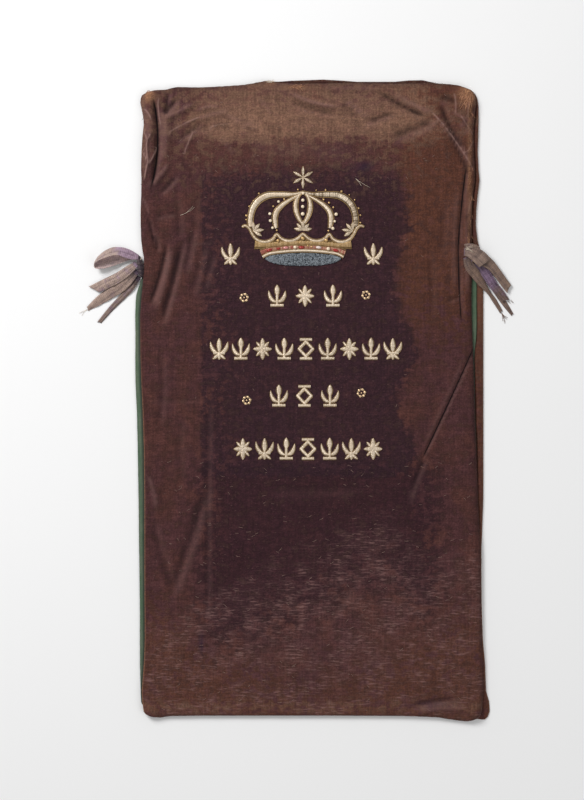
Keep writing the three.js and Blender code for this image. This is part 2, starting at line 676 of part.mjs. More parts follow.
// Widths along a leaf and along a bar, as shares of the stroke's width
const FORMS = {
  leaf: table(['at', 'share'], [[0, 0], [0.34, 0.95], [0.66, 0.9], [1, 0]]),
  bar: table(['at', 'share'], [[0, 1], [1, 1]]),
};

function formedStroke(form, from, bend, to, width) {
  const curve = new THREE.QuadraticBezierCurve(from, bend, to);
  return FORMS[form].map(({ at, share }) => {
    const point = curve.getPoint(at);
    return { x: point.x, y: point.y, width: width * share };
  });
}

function figureGeometry(kind) {
  const strokes = [];
  for (const row of FIGURES[kind]) {
    const points = formedStroke(
      row.form,
      new THREE.Vector2(row.x0, row.y0),
      new THREE.Vector2(row.bendX, row.bendY),
      new THREE.Vector2(row.x1, row.y1),
      row.width,
    );
    strokes.push(points);
    if (Math.abs(row.x0 + row.x1) > MIDDLE_TOLERANCE) strokes.push(mirrored(points));
  }
  return fusedStrokes(strokes);
}

// Lobes that leave one root at several angles, each starting a little behind it
const LOBE_ROOT = 0.06;

function lobesGeometry(angles, length, sideLength, width) {
  const root = new THREE.Vector2(0, 0);
  return fusedStrokes(angles.map((angle, i) => {
    const reach = i === 0 ? length : sideLength;
    const turn = THREE.MathUtils.degToRad(angle);
    const ray = new THREE.Vector2(Math.cos(turn), Math.sin(turn));
    const start = ray.clone().multiplyScalar(-LOBE_ROOT * reach);
    const tip = ray.clone().multiplyScalar(reach);
    return formedStroke('leaf', start, root.clone().add(tip).divideScalar(2), tip, width);
  }));
}

function undersideGeometry() {
  const upper = UNDERSIDE.map((row) => new THREE.Vector2(row.x, row.upper));
  const lower = UNDERSIDE.map((row) => new THREE.Vector2(row.x, row.lower));
  const across = (points) => points.slice(0, -1).reverse().map((p) => new THREE.Vector2(-p.x, p.y));
  const outline = [...upper, ...across(upper), ...across(lower).reverse(), ...lower.slice().reverse()];
  return new THREE.ExtrudeGeometry(new THREE.Shape(outline), { depth: PADDING, bevelEnabled: false });
}

function rosetteGeometry() {
  const outline = [];
  for (let i = 0; i < ROSETTE.points; i += 1) {
    const turn = (i / ROSETTE.points) * 2 * Math.PI;
    const radius = ROSETTE.radius + ROSETTE.scallop * Math.cos(ROSETTE.petals * turn);
    outline.push(new THREE.Vector2(radius * Math.cos(turn), radius * Math.sin(turn)));
  }
  return new THREE.ExtrudeGeometry(new THREE.Shape(outline), { depth: PADDING, bevelEnabled: false });
}

// Materials
const SHEEN = {
  velvet: { roughness: 0.95, metalness: 0 },
  lining: { roughness: 0.8, metalness: 0 },
  ribbon: { roughness: 0.65, metalness: 0 },
  metalThread: { roughness: 0.5, metalness: 0.4 },
};

function material(color, sheen) {
  return new THREE.MeshStandardMaterial({ color, ...sheen });
}

const mantle = new THREE.Group();

function addPiece(name, geometry, material, x = 0, y = 0, z = 0) {
  const mesh = new THREE.Mesh(geometry, material);
  mesh.name = name;
  mesh.position.set(x, y, z);
  mantle.add(mesh);
}

// Panels and lining
addPiece('front_panel', frontPanelGeometry(), material(VELVET_COLOUR, SHEEN.velvet));
addPiece('back_panel', backPanelGeometry(), material(VELVET_COLOUR, SHEEN.velvet));
addPiece('back_lining', liningGeometry(), material(LINING_COLOUR, SHEEN.lining));

// Ties
for (const [name, knot] of Object.entries(KNOTS)) {
  const silk = material(KNOT_COLOUR, SHEEN.ribbon);
  addPiece(name, knotGeometry(knot), silk, knot.x, knot.y, knot.z);
}
for (const [name, stations] of Object.entries(RIBBONS)) {
  const steps = RIBBON_STEPS[name] ?? TAIL_STEPS;
  addPiece(name, ribbonGeometry(stations, steps), material(RIBBON_COLOUR, SHEEN.ribbon));
}

// Crown
function addEmbroidery(name, geometry, colour, x, y) {
  addPiece(name, geometry, material(colour, SHEEN.metalThread), x, y, EMBROIDERY_UNDER);
}

const arches = Object.values(CROWN_ARCHES).flatMap((points) => [points, mirrored(points)]);
addEmbroidery('crown_arches', fusedStrokes(arches), THREAD_COLOUR, CROWN.x, CROWN.y);
const bands = Object.values(CIRCLET_STROKES).map((points) => [...points, ...mirrored(points).slice(1)]);
addEmbroidery('crown_circlet', fusedStrokes(bands), THREAD_COLOUR, CROWN.x, CROWN.y);
addEmbroidery('crown_underside', undersideGeometry(), BULLION_COLOUR, CROWN.x, CROWN.y);
const starTurns = Array.from({ length: STAR.petals }, (_, i) => 90 + (360 / STAR.petals) * i);
addEmbroidery(
  'crown_star',
  lobesGeometry(starTurns, STAR.length, STAR.length, STAR.width),
  THREAD_COLOUR,
  CROWN.x + STAR.x,
  CROWN.y + STAR.y,
);
for (const [name, leaf] of Object.entries(LEAF_CLUSTERS)) {
  const turns = leaf.lobes.map((angle) => leaf.turn + angle);
  const geometry = lobesGeometry(turns, leaf.long, leaf.long * LOBE.sideShare, LOBE.width);
  addEmbroidery(name, geometry, THREAD_COLOUR, CROWN.x + leaf.x, CROWN.y + leaf.y);
}

// Rows of padded figures and the rosettes beside them
FIGURE_ROWS.forEach((row, r) => {
  row.kinds.forEach((kind, i) => {
    const x = row.x + (i - (row.kinds.length - 1) / 2) * row.pitch;
    addEmbroidery(`figure_${r}_${i + 1}_${kind}`, figureGeometry(kind), THREAD_COLOUR, x, row.y);
  });
});
ROSETTES.forEach((place, i) => {
  addEmbroidery(`rosette_${i + 1}`, rosetteGeometry(), THREAD_COLOUR, place.x, place.y);
});

// The middle of everything, ties included, stands over the origin
const box = new THREE.Box3().setFromObject(mantle);
const middle = box.getCenter(new THREE.Vector3());
mantle.position.set(-middle.x, -middle.y, 0);

export default mantle;
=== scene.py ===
"""Torah mantle laid flat: worn cotton velvet over a green lining, silk ribbon ties and
raised metal-thread embroidery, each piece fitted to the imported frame.

Sizes are in millimetres on the mantle, X across and Y up to its top edge, until a
finished piece is put into the frame."""
import json
import math
import random
from collections import namedtuple

import bmesh
import bpy
import numpy as np
from bpy.props import FloatProperty, FloatVectorProperty, IntProperty, PointerProperty
from bpy.types import Operator, Panel, PropertyGroup
from mathutils import Matrix, Vector

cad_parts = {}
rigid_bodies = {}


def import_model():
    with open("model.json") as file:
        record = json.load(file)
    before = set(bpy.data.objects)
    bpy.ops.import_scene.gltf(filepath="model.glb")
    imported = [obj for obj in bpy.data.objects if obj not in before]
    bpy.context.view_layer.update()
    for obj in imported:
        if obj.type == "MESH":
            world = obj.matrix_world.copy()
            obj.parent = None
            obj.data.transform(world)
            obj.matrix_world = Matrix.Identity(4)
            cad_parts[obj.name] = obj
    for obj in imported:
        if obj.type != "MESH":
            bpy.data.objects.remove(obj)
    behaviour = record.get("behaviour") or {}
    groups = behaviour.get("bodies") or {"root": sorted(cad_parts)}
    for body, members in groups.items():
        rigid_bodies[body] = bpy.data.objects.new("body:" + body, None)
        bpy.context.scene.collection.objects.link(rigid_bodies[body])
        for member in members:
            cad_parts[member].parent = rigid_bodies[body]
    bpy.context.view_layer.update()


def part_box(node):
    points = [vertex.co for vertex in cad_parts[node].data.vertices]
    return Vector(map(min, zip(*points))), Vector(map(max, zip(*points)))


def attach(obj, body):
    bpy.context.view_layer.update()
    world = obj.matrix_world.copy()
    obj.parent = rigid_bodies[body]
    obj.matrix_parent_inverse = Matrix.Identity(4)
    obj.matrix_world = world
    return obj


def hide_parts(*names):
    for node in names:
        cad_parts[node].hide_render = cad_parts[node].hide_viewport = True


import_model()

bl_info = {
    "name": "Torah Mantle",
    "version": (1, 0, 0),
    "blender": (4, 5, 0),
    "location": "3D View > Sidebar > Mantle",
    "description": "Builds the velvet, lining, ties and raised embroidery of a laid mantle",
    "category": "Object",
}

MM = 0.001
# Clearance between layers, and how far the worked pieces reach below the solids they stand for
CLEARANCE = 0.3
WORKED_DROP = 0.2

# The crown's middle on the mantle, and how far its underside reaches below that
CROWN = (-10.3, 183.2)
UNDERSIDE_DROP = 10.0
under_low, under_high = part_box("crown_underside")
TO_FRAME = Matrix.Translation((
    (under_low.x + under_high.x) / 2 - CROWN[0] * MM,
    under_low.y - (CROWN[1] - UNDERSIDE_DROP) * MM,
    0,
)) @ Matrix.Scale(MM, 4)

# Heights of the layers, read from the frame
FIELD_TOP = under_low.z / MM - CLEARANCE
EMBROIDERY_UNDER = under_low.z / MM - WORKED_DROP
LINING_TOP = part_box("back_lining")[1].z / MM


def linear(code):
    """An sRGB hex colour as linear red, green and blue."""
    parts = [int(code[i:i + 2], 16) / 255 for i in (1, 3, 5)]
    return tuple(p / 12.92 if p <= 0.04045 else ((p + 0.055) / 1.055) ** 2.4 for p in parts)


def colour_setting(name, description, code):
    """A colour that a user may change."""
    return FloatVectorProperty(
        name=name, description=description, default=linear(code), subtype="COLOR",
        min=0, max=1,
    )


def millimetre_setting(name, description, size):
    """A length in millimetres that a user may change."""
    return FloatProperty(name=name, description=description, default=size, min=0)


class VelvetSettings(PropertyGroup):
    """Cloth and colours of the two velvet panels."""

    thickness: millimetre_setting("Thickness", "Thickness of the velvet in mm", 2.1)
    fold_depth: FloatProperty(
        name="Fold depth", description="Depth of the folds as a share of the real ones",
        default=1.0, min=0, max=1.5, subtype="FACTOR",
    )
    pile: millimetre_setting("Pile tufts", "Width of a tuft of crushed pile in mm", 2.1)
    plain: colour_setting("Plain", "Velvet that light has turned maroon", "#5a3738")
    warm: colour_setting("Warm", "Velvet that light has turned brown", "#6c4232")
    unfaded: colour_setting("Unfaded", "Velvet round the embroidery", "#3a232d")
    plum: colour_setting("Plum", "Velvet below the embroidery", "#3b2029")
    faded: colour_setting("Faded", "Velvet that light has bleached at the top", "#a87e66")
    # This colour also paints highlight on the folds' ridges and on the lit sides of their troughs
    crushed: colour_setting("Crushed", "Pile that is rubbed flat", "#866460")
    # This colour is the painted highlight along the crests of sharp folds
    crest: colour_setting("Crest", "Pile that is worn along sharp folds", "#a5847a")
    bare: colour_setting("Bare", "Ground cloth where the pile is gone", "#b0805e")
    # This colour is the painted shade in folds and troughs; it also darkens the rows and tufts of the pile
    hollow_shade: colour_setting("Hollow", "Pile in the folds", "#180d10")
    stain: colour_setting("Stain", "Dye that has run", "#261a2e")


class LiningSettings(PropertyGroup):
    """Cloth and colours of the lining."""

    thickness: millimetre_setting("Thickness", "Thickness of the lining in mm", 1.0)
    weave: millimetre_setting("Weave", "Distance between threads in mm, as coarse as shows", 1.1)
    green: colour_setting("Green", "Lining cloth", "#4b614a")
    grey: colour_setting("Grey", "Lining where dust and light have dulled it", "#6d6f60")


class RibbonSettings(PropertyGroup):
    """Cloth and colours of the ties."""

    thickness: millimetre_setting("Thickness", "Thickness of the ribbon in mm", 0.5)
    rib: millimetre_setting("Rib", "Distance between ribs in mm, as coarse as shows", 2.36)
    outside: colour_setting("Outside", "Face that light has bleached", "#d2b6a6")
    brown: colour_setting("Brown", "Ribbon of the right tie", "#917561")
    inside: colour_setting("Inside", "Face that has kept its lilac", "#b292b8")
    # A pale pink: the loop's own pink inner face, made paler as painted light where that face lies in
    # shade
    pink: colour_setting("Pink", "Inner face of the loop", "#f6d9d2")
    # Dark ribbon colour: it darkens the ribs, and paints shade in creases, pleats, rumples and round the
    # knots
    dark: colour_setting("Dark", "Ribbon inside the folds", "#2c1f28")


class ThreadSettings(PropertyGroup):
    """Metal threads, pads and beads of the embroidery."""

    pitch: millimetre_setting("Pitch", "Distance between laid threads in mm, as coarse as shows", 1.15)
    rise: millimetre_setting("Rise", "Height of the padding in mm", 1.7)
    cord: millimetre_setting("Cord", "Radius of the couched edge cord in mm", 0.55)
    silver: colour_setting("Silver", "Laid silver-gilt thread", "#f8e6ce")
    gold: colour_setting("Gold", "Laid gilt thread", "#b58f55")
    # This colour also paints shade on one half of each split stroke
    tarnish: colour_setting("Tarnish", "Thread that has darkened", "#6b5740")
    pearl: colour_setting("Pearl", "Glass pearls", "#fbe6c8")
    red: colour_setting("Red", "Red foil under the band", "#9c3f39")
    steel: colour_setting("Steel", "Blue steel purl of the underside", "#abb3ba")


# Lamps with their place and size in metres and their power in watts, the strength of the
# white light from all round, and half the table's width in metres
LAMPS = {"key": ((-1.5, 1.5, 1.9), 1.1, 62), "fill": ((1.6, -1.2, 2.0), 1.8, 12)}
ALL_ROUND = 0.42
TABLE_HALF = 6
# What the camera looks at on the mantle
VIEW_MIDDLE = (-24.5, 0.6)


class StageSettings(PropertyGroup):
    """Table, lights and camera."""

    table: colour_setting("Table", "Pale table top", "#f2f2f2")
    camera_height: FloatProperty(
        name="Camera height", description="Height of the camera over the mantle",
        default=2.867, min=1, unit="LENGTH",
    )
    lens: IntProperty(name="Lens", description="Focal length in mm", default=100, min=20)


SETTINGS = {
    "mantle_velvet": VelvetSettings,
    "mantle_lining": LiningSettings,
    "mantle_ribbon": RibbonSettings,
    "mantle_thread": ThreadSettings,
    "mantle_stage": StageSettings,
}

# Where each edge lies across the mantle at a place y along it
Side = namedtuple("Side", "y front_left front_right back_left back_right lining_left lining_right")
SIDES = [Side(*row) for row in (
    (-416, -201, 207, -199, 221, -201, 200),
    (-409, -210, 218, -208, 228.5, -208, 209),
    (-402, -216, 220.5, -214.5, 231, -214, 213),
    (-390, -217.6, 221.4, -215.4, 230.5, -219.4, 213.9),
    (-376, -218.5, 223, -216, 226.5, -220.2, 213.9),
    (-338, -215.5, 222.3, -216.9, 225, -221.1, 213.9),
    (-309, -214.5, 220.5, -216.9, 222.3, -221.1, 213.9),
    (-257, -214.8, 219.5, -217, 220.6, -221.2, 213.9),
    (-193, -215, 219, -217.9, 220.4, -222.1, 213.9),
    (-128, -215, 215.5, -218.6, 222.8, -222.8, 213.9),
    (-64, -215.6, 213.4, -219.7, 222.8, -223.9, 213.8),
    (-25, -216.8, 211.6, -220.4, 222.8, -224.6, 212.2),
    (26, -219, 210.5, -222.7, 222.8, -226.9, 211.3),
    (58, -220.1, 209.3, -222.8, 222.8, -227, 210.8),
    (84, -220.4, 208.4, -222.8, 222.8, -227, 213.9),
    (110, -220.5, 207.4, -222.9, 222.8, -227.1, 213.9),
    (134, -218.8, 207.3, -222, 222.8, -226.5, 213.9),
    (147, -217.4, 207.5, -219.4, 222.6, -222.8, 213.9),
    (153, -217, 207.6, -216.2, 222.4, -220.6, 213.9),
    (160, -216.4, 207.8, -216.4, 222, -217.6, 213.7),
    (170, -215.6, 208, -215.8, 221.6, -212.2, 206.5),
    (184, -215.8, 208.3, -215.8, 220.6, -212.4, 204.9),
    (194, -217.6, 208.3, -217.6, 218.6, -214, 204.8),
    (207, -219.3, 207.7, -219.3, 215.5, -215.8, 204.2),
    (226, -220, 207.5, -220, 213.2, -216.6, 204),
    (245, -220, 208, -220, 213.8, -216.6, 204.4),
    (265, -219.3, 209, -219.5, 215.6, -215.8, 205.4),
    (284, -219, 212, -219.2, 218, -215.4, 208.4),
    (300, -219.5, 211.5, -219.5, 216.6, -216, 208),
    (323, -218.8, 210.5, -219, 215.6, -215.2, 207),
    (342, -217.6, 209.8, -217.8, 216.4, -212.4, 206.2),
    (361, -215.4, 211, -215.8, 216.8, -212, 207.4),
    (384, -220.4, 213, -220.4, 216.6, -214, 207),
    (391, -219.6, 212.4, -219.7, 214.8, -210, 205),
    (396, -217.4, 210.6, -217.5, 212.4, -206, 201),
    (401, -213, 206.6, -213.4, 207.6, -200, 195),
    (406, -205, 199.5, -206, 200.6, -192, 188),
)]

# How far the top edges and the hems reach at a place x across
End = namedtuple("End", "x front_top back_top front_bottom back_bottom")
ENDS = [End(*row) for row in (
    (-218, 393, 393.5, -404, -402),
    (-212, 398.5, 399, -408.5, -406),
    (-202, 401, 401.4, -409.6, -407),
    (-190, 401.2, 401.8, -407.8, -405.6),
    (-182, 404.6, 405.2, -407.5, -405.4),
    (-143, 404.2, 404.8, -407, -405),
    (-91, 407.5, 407.6, -407, -405),
    (-58, 413, 412, -407, -405),
    (-44, 410, 412, -407, -405),
    (-24, 409, 413.5, -407, -405),
    (22, 409.4, 415, -407, -405),
    (65, 409.4, 412, -407.2, -405),
    (118, 409, 412, -407.5, -405.4),
    (148, 409.4, 415, -408.6, -406.4),
    (162, 409.4, 413, -409.4, -407.4),
    (176, 408.6, 409.4, -411.4, -408.6),
    (194, 408.2, 408.6, -413.6, -410.4),
    (206, 406.2, 406.8, -414.5, -412),
    (213, 402, 402.6, -412, -412.6),
    (224, 392, 393, -404, -410),
)]
STRAIGHT_SIDES = (-217, 214)
LINING_ENDS = (-393, 393)
# The panels are sewn together above this band and open below it
SLIT_END = (176, 196)
# The back panel's turned hem starts here at the right opening, and this far beside the
# front panel below and above that; the opening narrows over this band
HEM_START = 214.4
HEM_BESIDE_FRONT = 1.5
OPENING = (54, 86)

# Soft-edged spots of the front panel: centre, reach and strength, which is a rise in mm
# for its slack places and a share from 0 to 1 for its worn and stained ones
Spot = namedtuple("Spot", "x y across along strength")
SWELLS = [Spot(*row) for row in (
    (-210, 335, 11, 62, 4.6), (-176, 345, 24, 62, 1.9), (-209, 386, 13, 15, 3.2),
    (-208, 236, 10, 42, 2.2), (-181, 166, 14, 46, 1.8), (202, 378, 16, 18, 4.6),
    (201, 268, 8, 58, 2.6), (176, 236, 12, 92, 2.2), (168, 350, 32, 44, 1.8),
    (70, 372, 52, 26, 1.5), (-92, 372, 56, 26, 1.1), (200, 92, 12, 60, 1.6),
    (190, -20, 22, 58, 1.6), (214, -398, 14, 15, 3.4), (-208, -400, 13, 10, 2.2),
    (-203, -112, 12, 46, 1.5), (-180, -236, 24, 66, 1.1), (176, -300, 34, 80, 1.0),
)]
WORN_THROUGH = [Spot(*row) for row in (
    (-209, 394, 6, 9, 1), (203, 395, 12, 12, 1), (-20, 404, 14, 3, 0.35), (-52, 410, 5, 4, 0.4),
)]
STAINS = [Spot(*row) for row in (
    (69, 302, 11, 5, 1), (-142, -314, 3, 13, 0.8), (214, -331, 3, 3, 0.8),
    (158, -392, 22, 6, 0.6),
)]

# Folds of the front panel: a bent line from start by bend to end, how far it rises
# (negative in a trough) and how far it reaches to each side
Fold = namedtuple("Fold", "start bend end rise reach")
FOLDS = [Fold(*row) for row in (
    ((-205, 396), (-189, 332), (-208, 268), -5.6, 2.6),
    ((-212, 390), (-207, 336), (-213, 280), 1.2, 6),
    ((-194, 384), (-183, 342), (-194, 302), 1.6, 6),
    ((-214, 275), (-198, 281), (-181, 311), 2.6, 3.2),
    ((-195, 270), (-185, 275), (-173, 292), -1.9, 3),
    ((-203, 236), (-187, 239), (-173, 244), -1.5, 2.6),
    ((-204, 214), (-197, 203), (-200, 190), -1.8, 2.6),
    ((-186, 206), (-194, 158), (-211, 120), -2.6, 3.6),
    ((-179, 200), (-187, 149), (-203, 112), 1.2, 5),
    ((-165, 214), (-178, 149), (-197, 92), -2.1, 4),
    ((-153, 222), (-157, 200), (-166, 160), -1.3, 4.4),
    ((-141, 202), (-146, 170), (-156, 132), -1.1, 4.4),
    ((-129, 190), (-134, 166), (-142, 140), -0.9, 4),
    ((-156, 204), (-139, 204), (-124, 209), -0.9, 2),
    ((-192, 370), (-182, 377), (-173, 391), -2.2, 3.6),
    ((-196, 392), (-199, 376), (-193, 352), 1.4, 1.7), ((-184, 398), (-188, 384), (-186, 366), -2.2, 2.6),
    ((-190, 362), (-172, 372), (-148, 385), 1.8, 3.6), ((-186, 344), (-164, 358), (-142, 366), 1.3, 1.8),
    ((-176, 334), (-158, 344), (-140, 362), -1.4, 2.8), ((-164, 318), (-158, 334), (-150, 352), 1.3, 1.7),
    ((-132, 352), (-118, 358), (-104, 356), 1.2, 1.6), ((-150, 372), (-134, 382), (-116, 378), 1.4, 3),
    ((-28, 399), (-6, 382), (42, 378), 2.6, 3),
    ((-28, 389), (-6, 373), (40, 370), -1.2, 3.4),
    ((85, 401), (111, 381), (151, 365), -2.6, 3.4),
    ((105, 399), (131, 379), (160, 370), 1.6, 4.6),
    ((160, 366), (187, 341), (212, 295), 3.2, 3.6), ((152, 376), (184, 343), (213, 292), 1.6, 1.7),
    ((172, 352), (192, 318), (206, 286), -1.8, 2.6), ((192, 368), (201, 356), (211, 340), 1.4, 1.6),
    ((184, 398), (188, 384), (186, 368), 1.2, 1.8), ((206, 392), (201, 378), (203, 362), 1.4, 1.6),
    ((166, 386), (176, 349), (198, 323), -2.6, 3.8),
    ((68, 359), (87, 363), (106, 373), -2.0, 2.8),
    ((43, 388), (59, 378), (73, 362), 1.6, 3),
    ((38, 385), (53, 372), (64, 360), -1.2, 2.8),
    ((64, 366), (65, 354), (64, 341), -0.8, 2),
    ((100, 339), (128, 349), (162, 364), -1.9, 5),
    ((147, 351), (158, 355), (168, 364), 1.3, 2.8),
    ((164, 391), (178, 392), (189, 383), -1.8, 4.6),
    ((194, 361), (202, 354), (212, 353), -2.2, 3),
    ((179, 373), (196, 365), (210, 357), 1.6, 3.4),
    ((190, 359), (201, 350), (210, 337), 1.6, 3),
    ((201, 306), (193, 252), (189.5, 190), -4.6, 1.9),
    ((189.8, 212), (190, 155), (194, 98), -3.8, 1.9),
    ((-216, 347), (-213, 342), (-209.5, 334), 2, 1.5), ((-205, 346), (-208, 341), (-212, 334), 2, 1.5),
    ((-211.5, 338), (-213, 322), (-209, 306), 2, 1.5), ((-198, 329), (-202, 314), (-211, 302), 2.2, 1.6),
    ((-218, 323), (-215, 314), (-208, 304), 2, 1.5), ((-208.5, 311), (-213, 300), (-215, 284), 2, 1.6),
    ((-216, 376), (-209, 372), (-205, 360), 1.6, 1.8), ((-219, 262), (-211, 254), (-208, 238), 1.6, 2),
    ((-219, 240), (-209, 236), (-205, 222), -1.4, 1.8), ((-212, 232), (-203, 218), (-204, 200), -1.8, 2),
    ((213, 338), (206, 331), (202, 318), 1.6, 1.7), ((213, 318), (206, 306), (205, 292), -1.6, 1.8),
    ((211, 268), (205, 258), (203, 240), 1.6, 1.8), ((199, 242), (204, 226), (205, 212), -1.8, 1.8),
    ((212, 379), (204, 372), (203, 360), -1.8, 2), ((204, 352), (209, 346), (212, 340), -2, 1.8),
    ((-70, 391), (-55, 381), (-52, 366), 0.9, 2.6), ((-112, 372), (-96, 358), (-62, 352), 1.1, 4),
    ((-152, 362), (-128, 369), (-102, 375), 1.2, 4), ((-168, 340), (-150, 352), (-126, 354), -0.9, 3),
    ((-120, 340), (-104, 330), (-100, 312), 0.9, 2.4), ((-172, 316), (-158, 300), (-150, 278), -0.8, 3),
    ((-176, 262), (-170, 236), (-172, 206), -1.0, 4), ((-150, 262), (-154, 240), (-150, 214), -0.7, 4),
    ((168, 262), (171, 226), (164, 178), -0.7, 5), ((150, 200), (158, 150), (152, 98), -0.6, 4),
    ((-196, 62), (-190, 20), (-198, -40), -0.8, 4), ((-168, -20), (-174, -60), (-168, -110), -0.6, 4),
    ((104, -300), (88, -330), (62, -352), 0.7, 3), ((-96, -262), (-80, -292), (-88, -330), -0.6, 4),
    ((207, 286), (198, 207), (203, 127), 1.6, 5),
    ((190, 285), (182, 213), (186, 128), 1.0, 5),
    ((214.6, 79), (178.6, -3), (140.3, -82), -3.6, 1.6),
    ((148, -70), (133, -102), (121, -137), -1.2, 3.4),
    ((203, 68), (177, 5), (139, -72), 0.7, 3.4),
    ((176, 129), (184, 131), (192, 135), -1.0, 2.4),
    ((54, -235), (40, -260), (20, -286), -0.8, 4),
    ((129, -394), (158, -385), (190, -384), -1.3, 3.4),
    ((133, -402), (166, -394), (206, -397), 1.3, 5),
    ((-211, -94), (-202, -115), (-198, -146), 1.3, 4),
    ((-208, -153), (-197, -195), (-179, -246), -1.1, 5),
    ((-134, -101), (-156, -180), (-188, -262), -1.3, 6),
    ((-133, 22), (-135, -128), (-136, -310), -0.8, 3.4),
    ((-218, 3), (-175, 1), (-129, 4), -0.5, 3),
    ((10, 404), (55, 402), (97, 403), 1.0, 3),
    ((-92, 330), (-20, 318), (60, 322), 0.5, 14),
    ((-60, -110), (0, -118), (70, -106), -0.5, 6),
)]
# The embroidered field is flat between these lines
FIELD = {"left": -141, "right": 135, "bottom": -88, "top": 308, "blend": 14}

Station = namedtuple("Station", "x y z width lean crease")
# Ribbons as they lie: centre line, width, lean of the cloth from flat in degrees and
# the height of the crease along the middle
RIBBONS = {
    "tie_left_loop": [Station(*row) for row in (
        (-222.2, 184.6, 7.2, 6, 25, 0.4), (-229.5, 186.6, 8.6, 11, 20, 0.8),
        (-238.2, 189.8, 10.4, 13, 22, 1), (-247.5, 192.2, 11.4, 13, 34, 0.8),
        (-257.2, 191.4, 11.4, 14, 38, 0.6), (-267, 187.4, 10.2, 13, 50, 0.4),
        (-275.2, 182, 8.8, 12, 70, 0.2), (-279.4, 177.4, 7.4, 11, 90, 0),
        (-278.2, 174.6, 6, 12, 118, 0.2), (-271.4, 176, 4.8, 15, 146, 0.4),
        (-263, 179.2, 3.9, 16.5, 158, 0.6), (-255, 181.8, 3.5, 16, 164, 0.6),
        (-246, 183.4, 3.2, 12, 166, 0.4), (-236.8, 184.6, 3.2, 8, 168, 0.2),
        (-228, 185.5, 3.2, 5, 170, 0),
    )],
    "tie_left_tail_a": [Station(*row) for row in (
        (-224.7, 176.4, 8.2, 7, 12, 0.4), (-233.5, 169.6, 7.4, 11, 8, 0.8),
        (-249, 158.8, 5.4, 13, 6, 1), (-264.5, 151.1, 4, 13.4, 4, 0.9),
        (-284.6, 141.4, 3, 12.8, 3, 0.6),
    )],
    "tie_left_tail_b": [Station(*row) for row in (
        (-224.2, 167.4, 6, 7, -4, 0.3), (-233.5, 158.1, 5, 12, -3, 0.6),
        (-244.4, 148, 3.4, 14, -2, 0.8), (-256.7, 140.3, 2, 14, -2, 0.8),
        (-272.2, 130.2, 1.2, 12, 0, 0.6), (-289.6, 117.8, 0.8, 5, 0, 0.3),
    )],
    "tie_left_tail_c": [Station(*row) for row in (
        (-222.8, 160.6, 2.6, 7, 4, 0.7), (-233.5, 144.9, 1.6, 9, 2, 1),
        (-242.8, 134.8, 1.1, 8, 0, 1.2), (-255.2, 122.2, 0.8, 7, 0, 1.4),
        (-266, 110.1, 0.7, 6, 0, 1.3), (-274.5, 99.7, 0.6, 5, 0, 1),
    )],
    "tie_right_tail_a": [Station(*row) for row in (
        (208.8, 186.6, 12.6, 15.6, -4, 1.2), (220.5, 182, 10.2, 16.5, -12, 1.4),
        (231.4, 175.1, 7.6, 13.5, -14, 1.2), (240.6, 164.2, 5.6, 11.4, -10, 0.9),
        (249.2, 152.6, 4.2, 11, -6, 0.7), (257.7, 141.8, 3.2, 10.5, -4, 0.5),
    )],
    "tie_right_tail_b": [Station(*row) for row in (
        (213.6, 179.6, 9.6, 12, -6, 0.6), (220.5, 171.6, 7.4, 13.5, -10, 0.8),
        (228, 160.8, 5.4, 12.4, -10, 1.1), (235, 149.6, 3.9, 11.6, -7, 1.1),
        (244.6, 137.9, 3.1, 11.2, -4, 0.9), (253.4, 127.4, 2.8, 8.4, -2, 0.6),
    )],
    "tie_right_tail_c": [Station(*row) for row in (
        (225.6, 158.6, 3.2, 7.6, -4, 0.3), (234.4, 148.6, 2, 8, -2, 0.4),
        (244.6, 133.8, 1, 7.6, 0, 0.5), (253.4, 121, 0.8, 6, 0, 0.4),
        (261.1, 110.1, 0.6, 3.5, 0, 0.2),
    )],
    "tie_right_tail_d": [Station(*row) for row in (
        (200.4, 184.4, 11, 9, 8, 0.8), (204, 173.6, 10.4, 12.4, 6, 1),
        (212, 162.8, 8.8, 12.6, 0, 1), (220, 151.8, 6.3, 10, -3, 0.8),
        (229, 140.6, 3.2, 5.2, -4, 0.8), (238, 127.9, 1.4, 5.4, -2, 0.6),
        (246.8, 113.4, 0.9, 4.4, 0, 0.4),
    )],
}
# The right tie's wide end, folded over its knot
RIBBONS["tie_right_cap"] = [Station(*row) for row in (
    (197, 191.4, 12.8, 10, 0, 0.6), (204, 191.2, 14, 15, -4, 1.2), (212, 188, 14, 18, -8, 1.6),
    (219.6, 181.6, 12.8, 19.5, -10, 1.6), (225, 175.6, 11.6, 19, -12, 1.4),
)]
# How a ribbon looks: its lilac, its darkness with painted shade, its brown, and its pink with
# painted light, from 0 to 1, the painted shade at its root, how far from the knot the lilac
# reaches, its pleats and how its end is notched and slanted
Tail = namedtuple("Tail", "lilac dark brown pink root reach pleats notch slant")
TAILS = {
    "tie_left_loop": Tail(0.12, 0, 0, 1, 0.15, 36, 1, 0, 0),
    "tie_left_tail_a": Tail(0.22, 0, 0.1, 0.3, 0.3, 4, 2, 0, 0.75),
    "tie_left_tail_b": Tail(0.08, 0, 0.3, 0.2, 0.85, 5, 1, 0.1, -0.3),
    "tie_left_tail_c": Tail(0.2, 0.25, 0.5, 0, 0.7, 8, 2, 0.2, 0.4),
    "tie_right_tail_a": Tail(0, 0.04, 0.85, 0, 0.2, 1, 1, 0.1, 0.5),
    "tie_right_tail_b": Tail(0.25, 0.35, 0.95, 0, 0.5, 56, 3, 0.15, -0.4),
    "tie_right_tail_c": Tail(0, 0.2, 0.9, 0, 0.2, 1, 2, 0.2, 0.3),
    "tie_right_tail_d": Tail(0, 0.08, 1, 0, 0.4, 1, 2, 0.3, 0.3),
    "tie_right_cap": Tail(0, 0, 0.7, 0.2, 0.25, 1, 2, 0, -0.15),
}
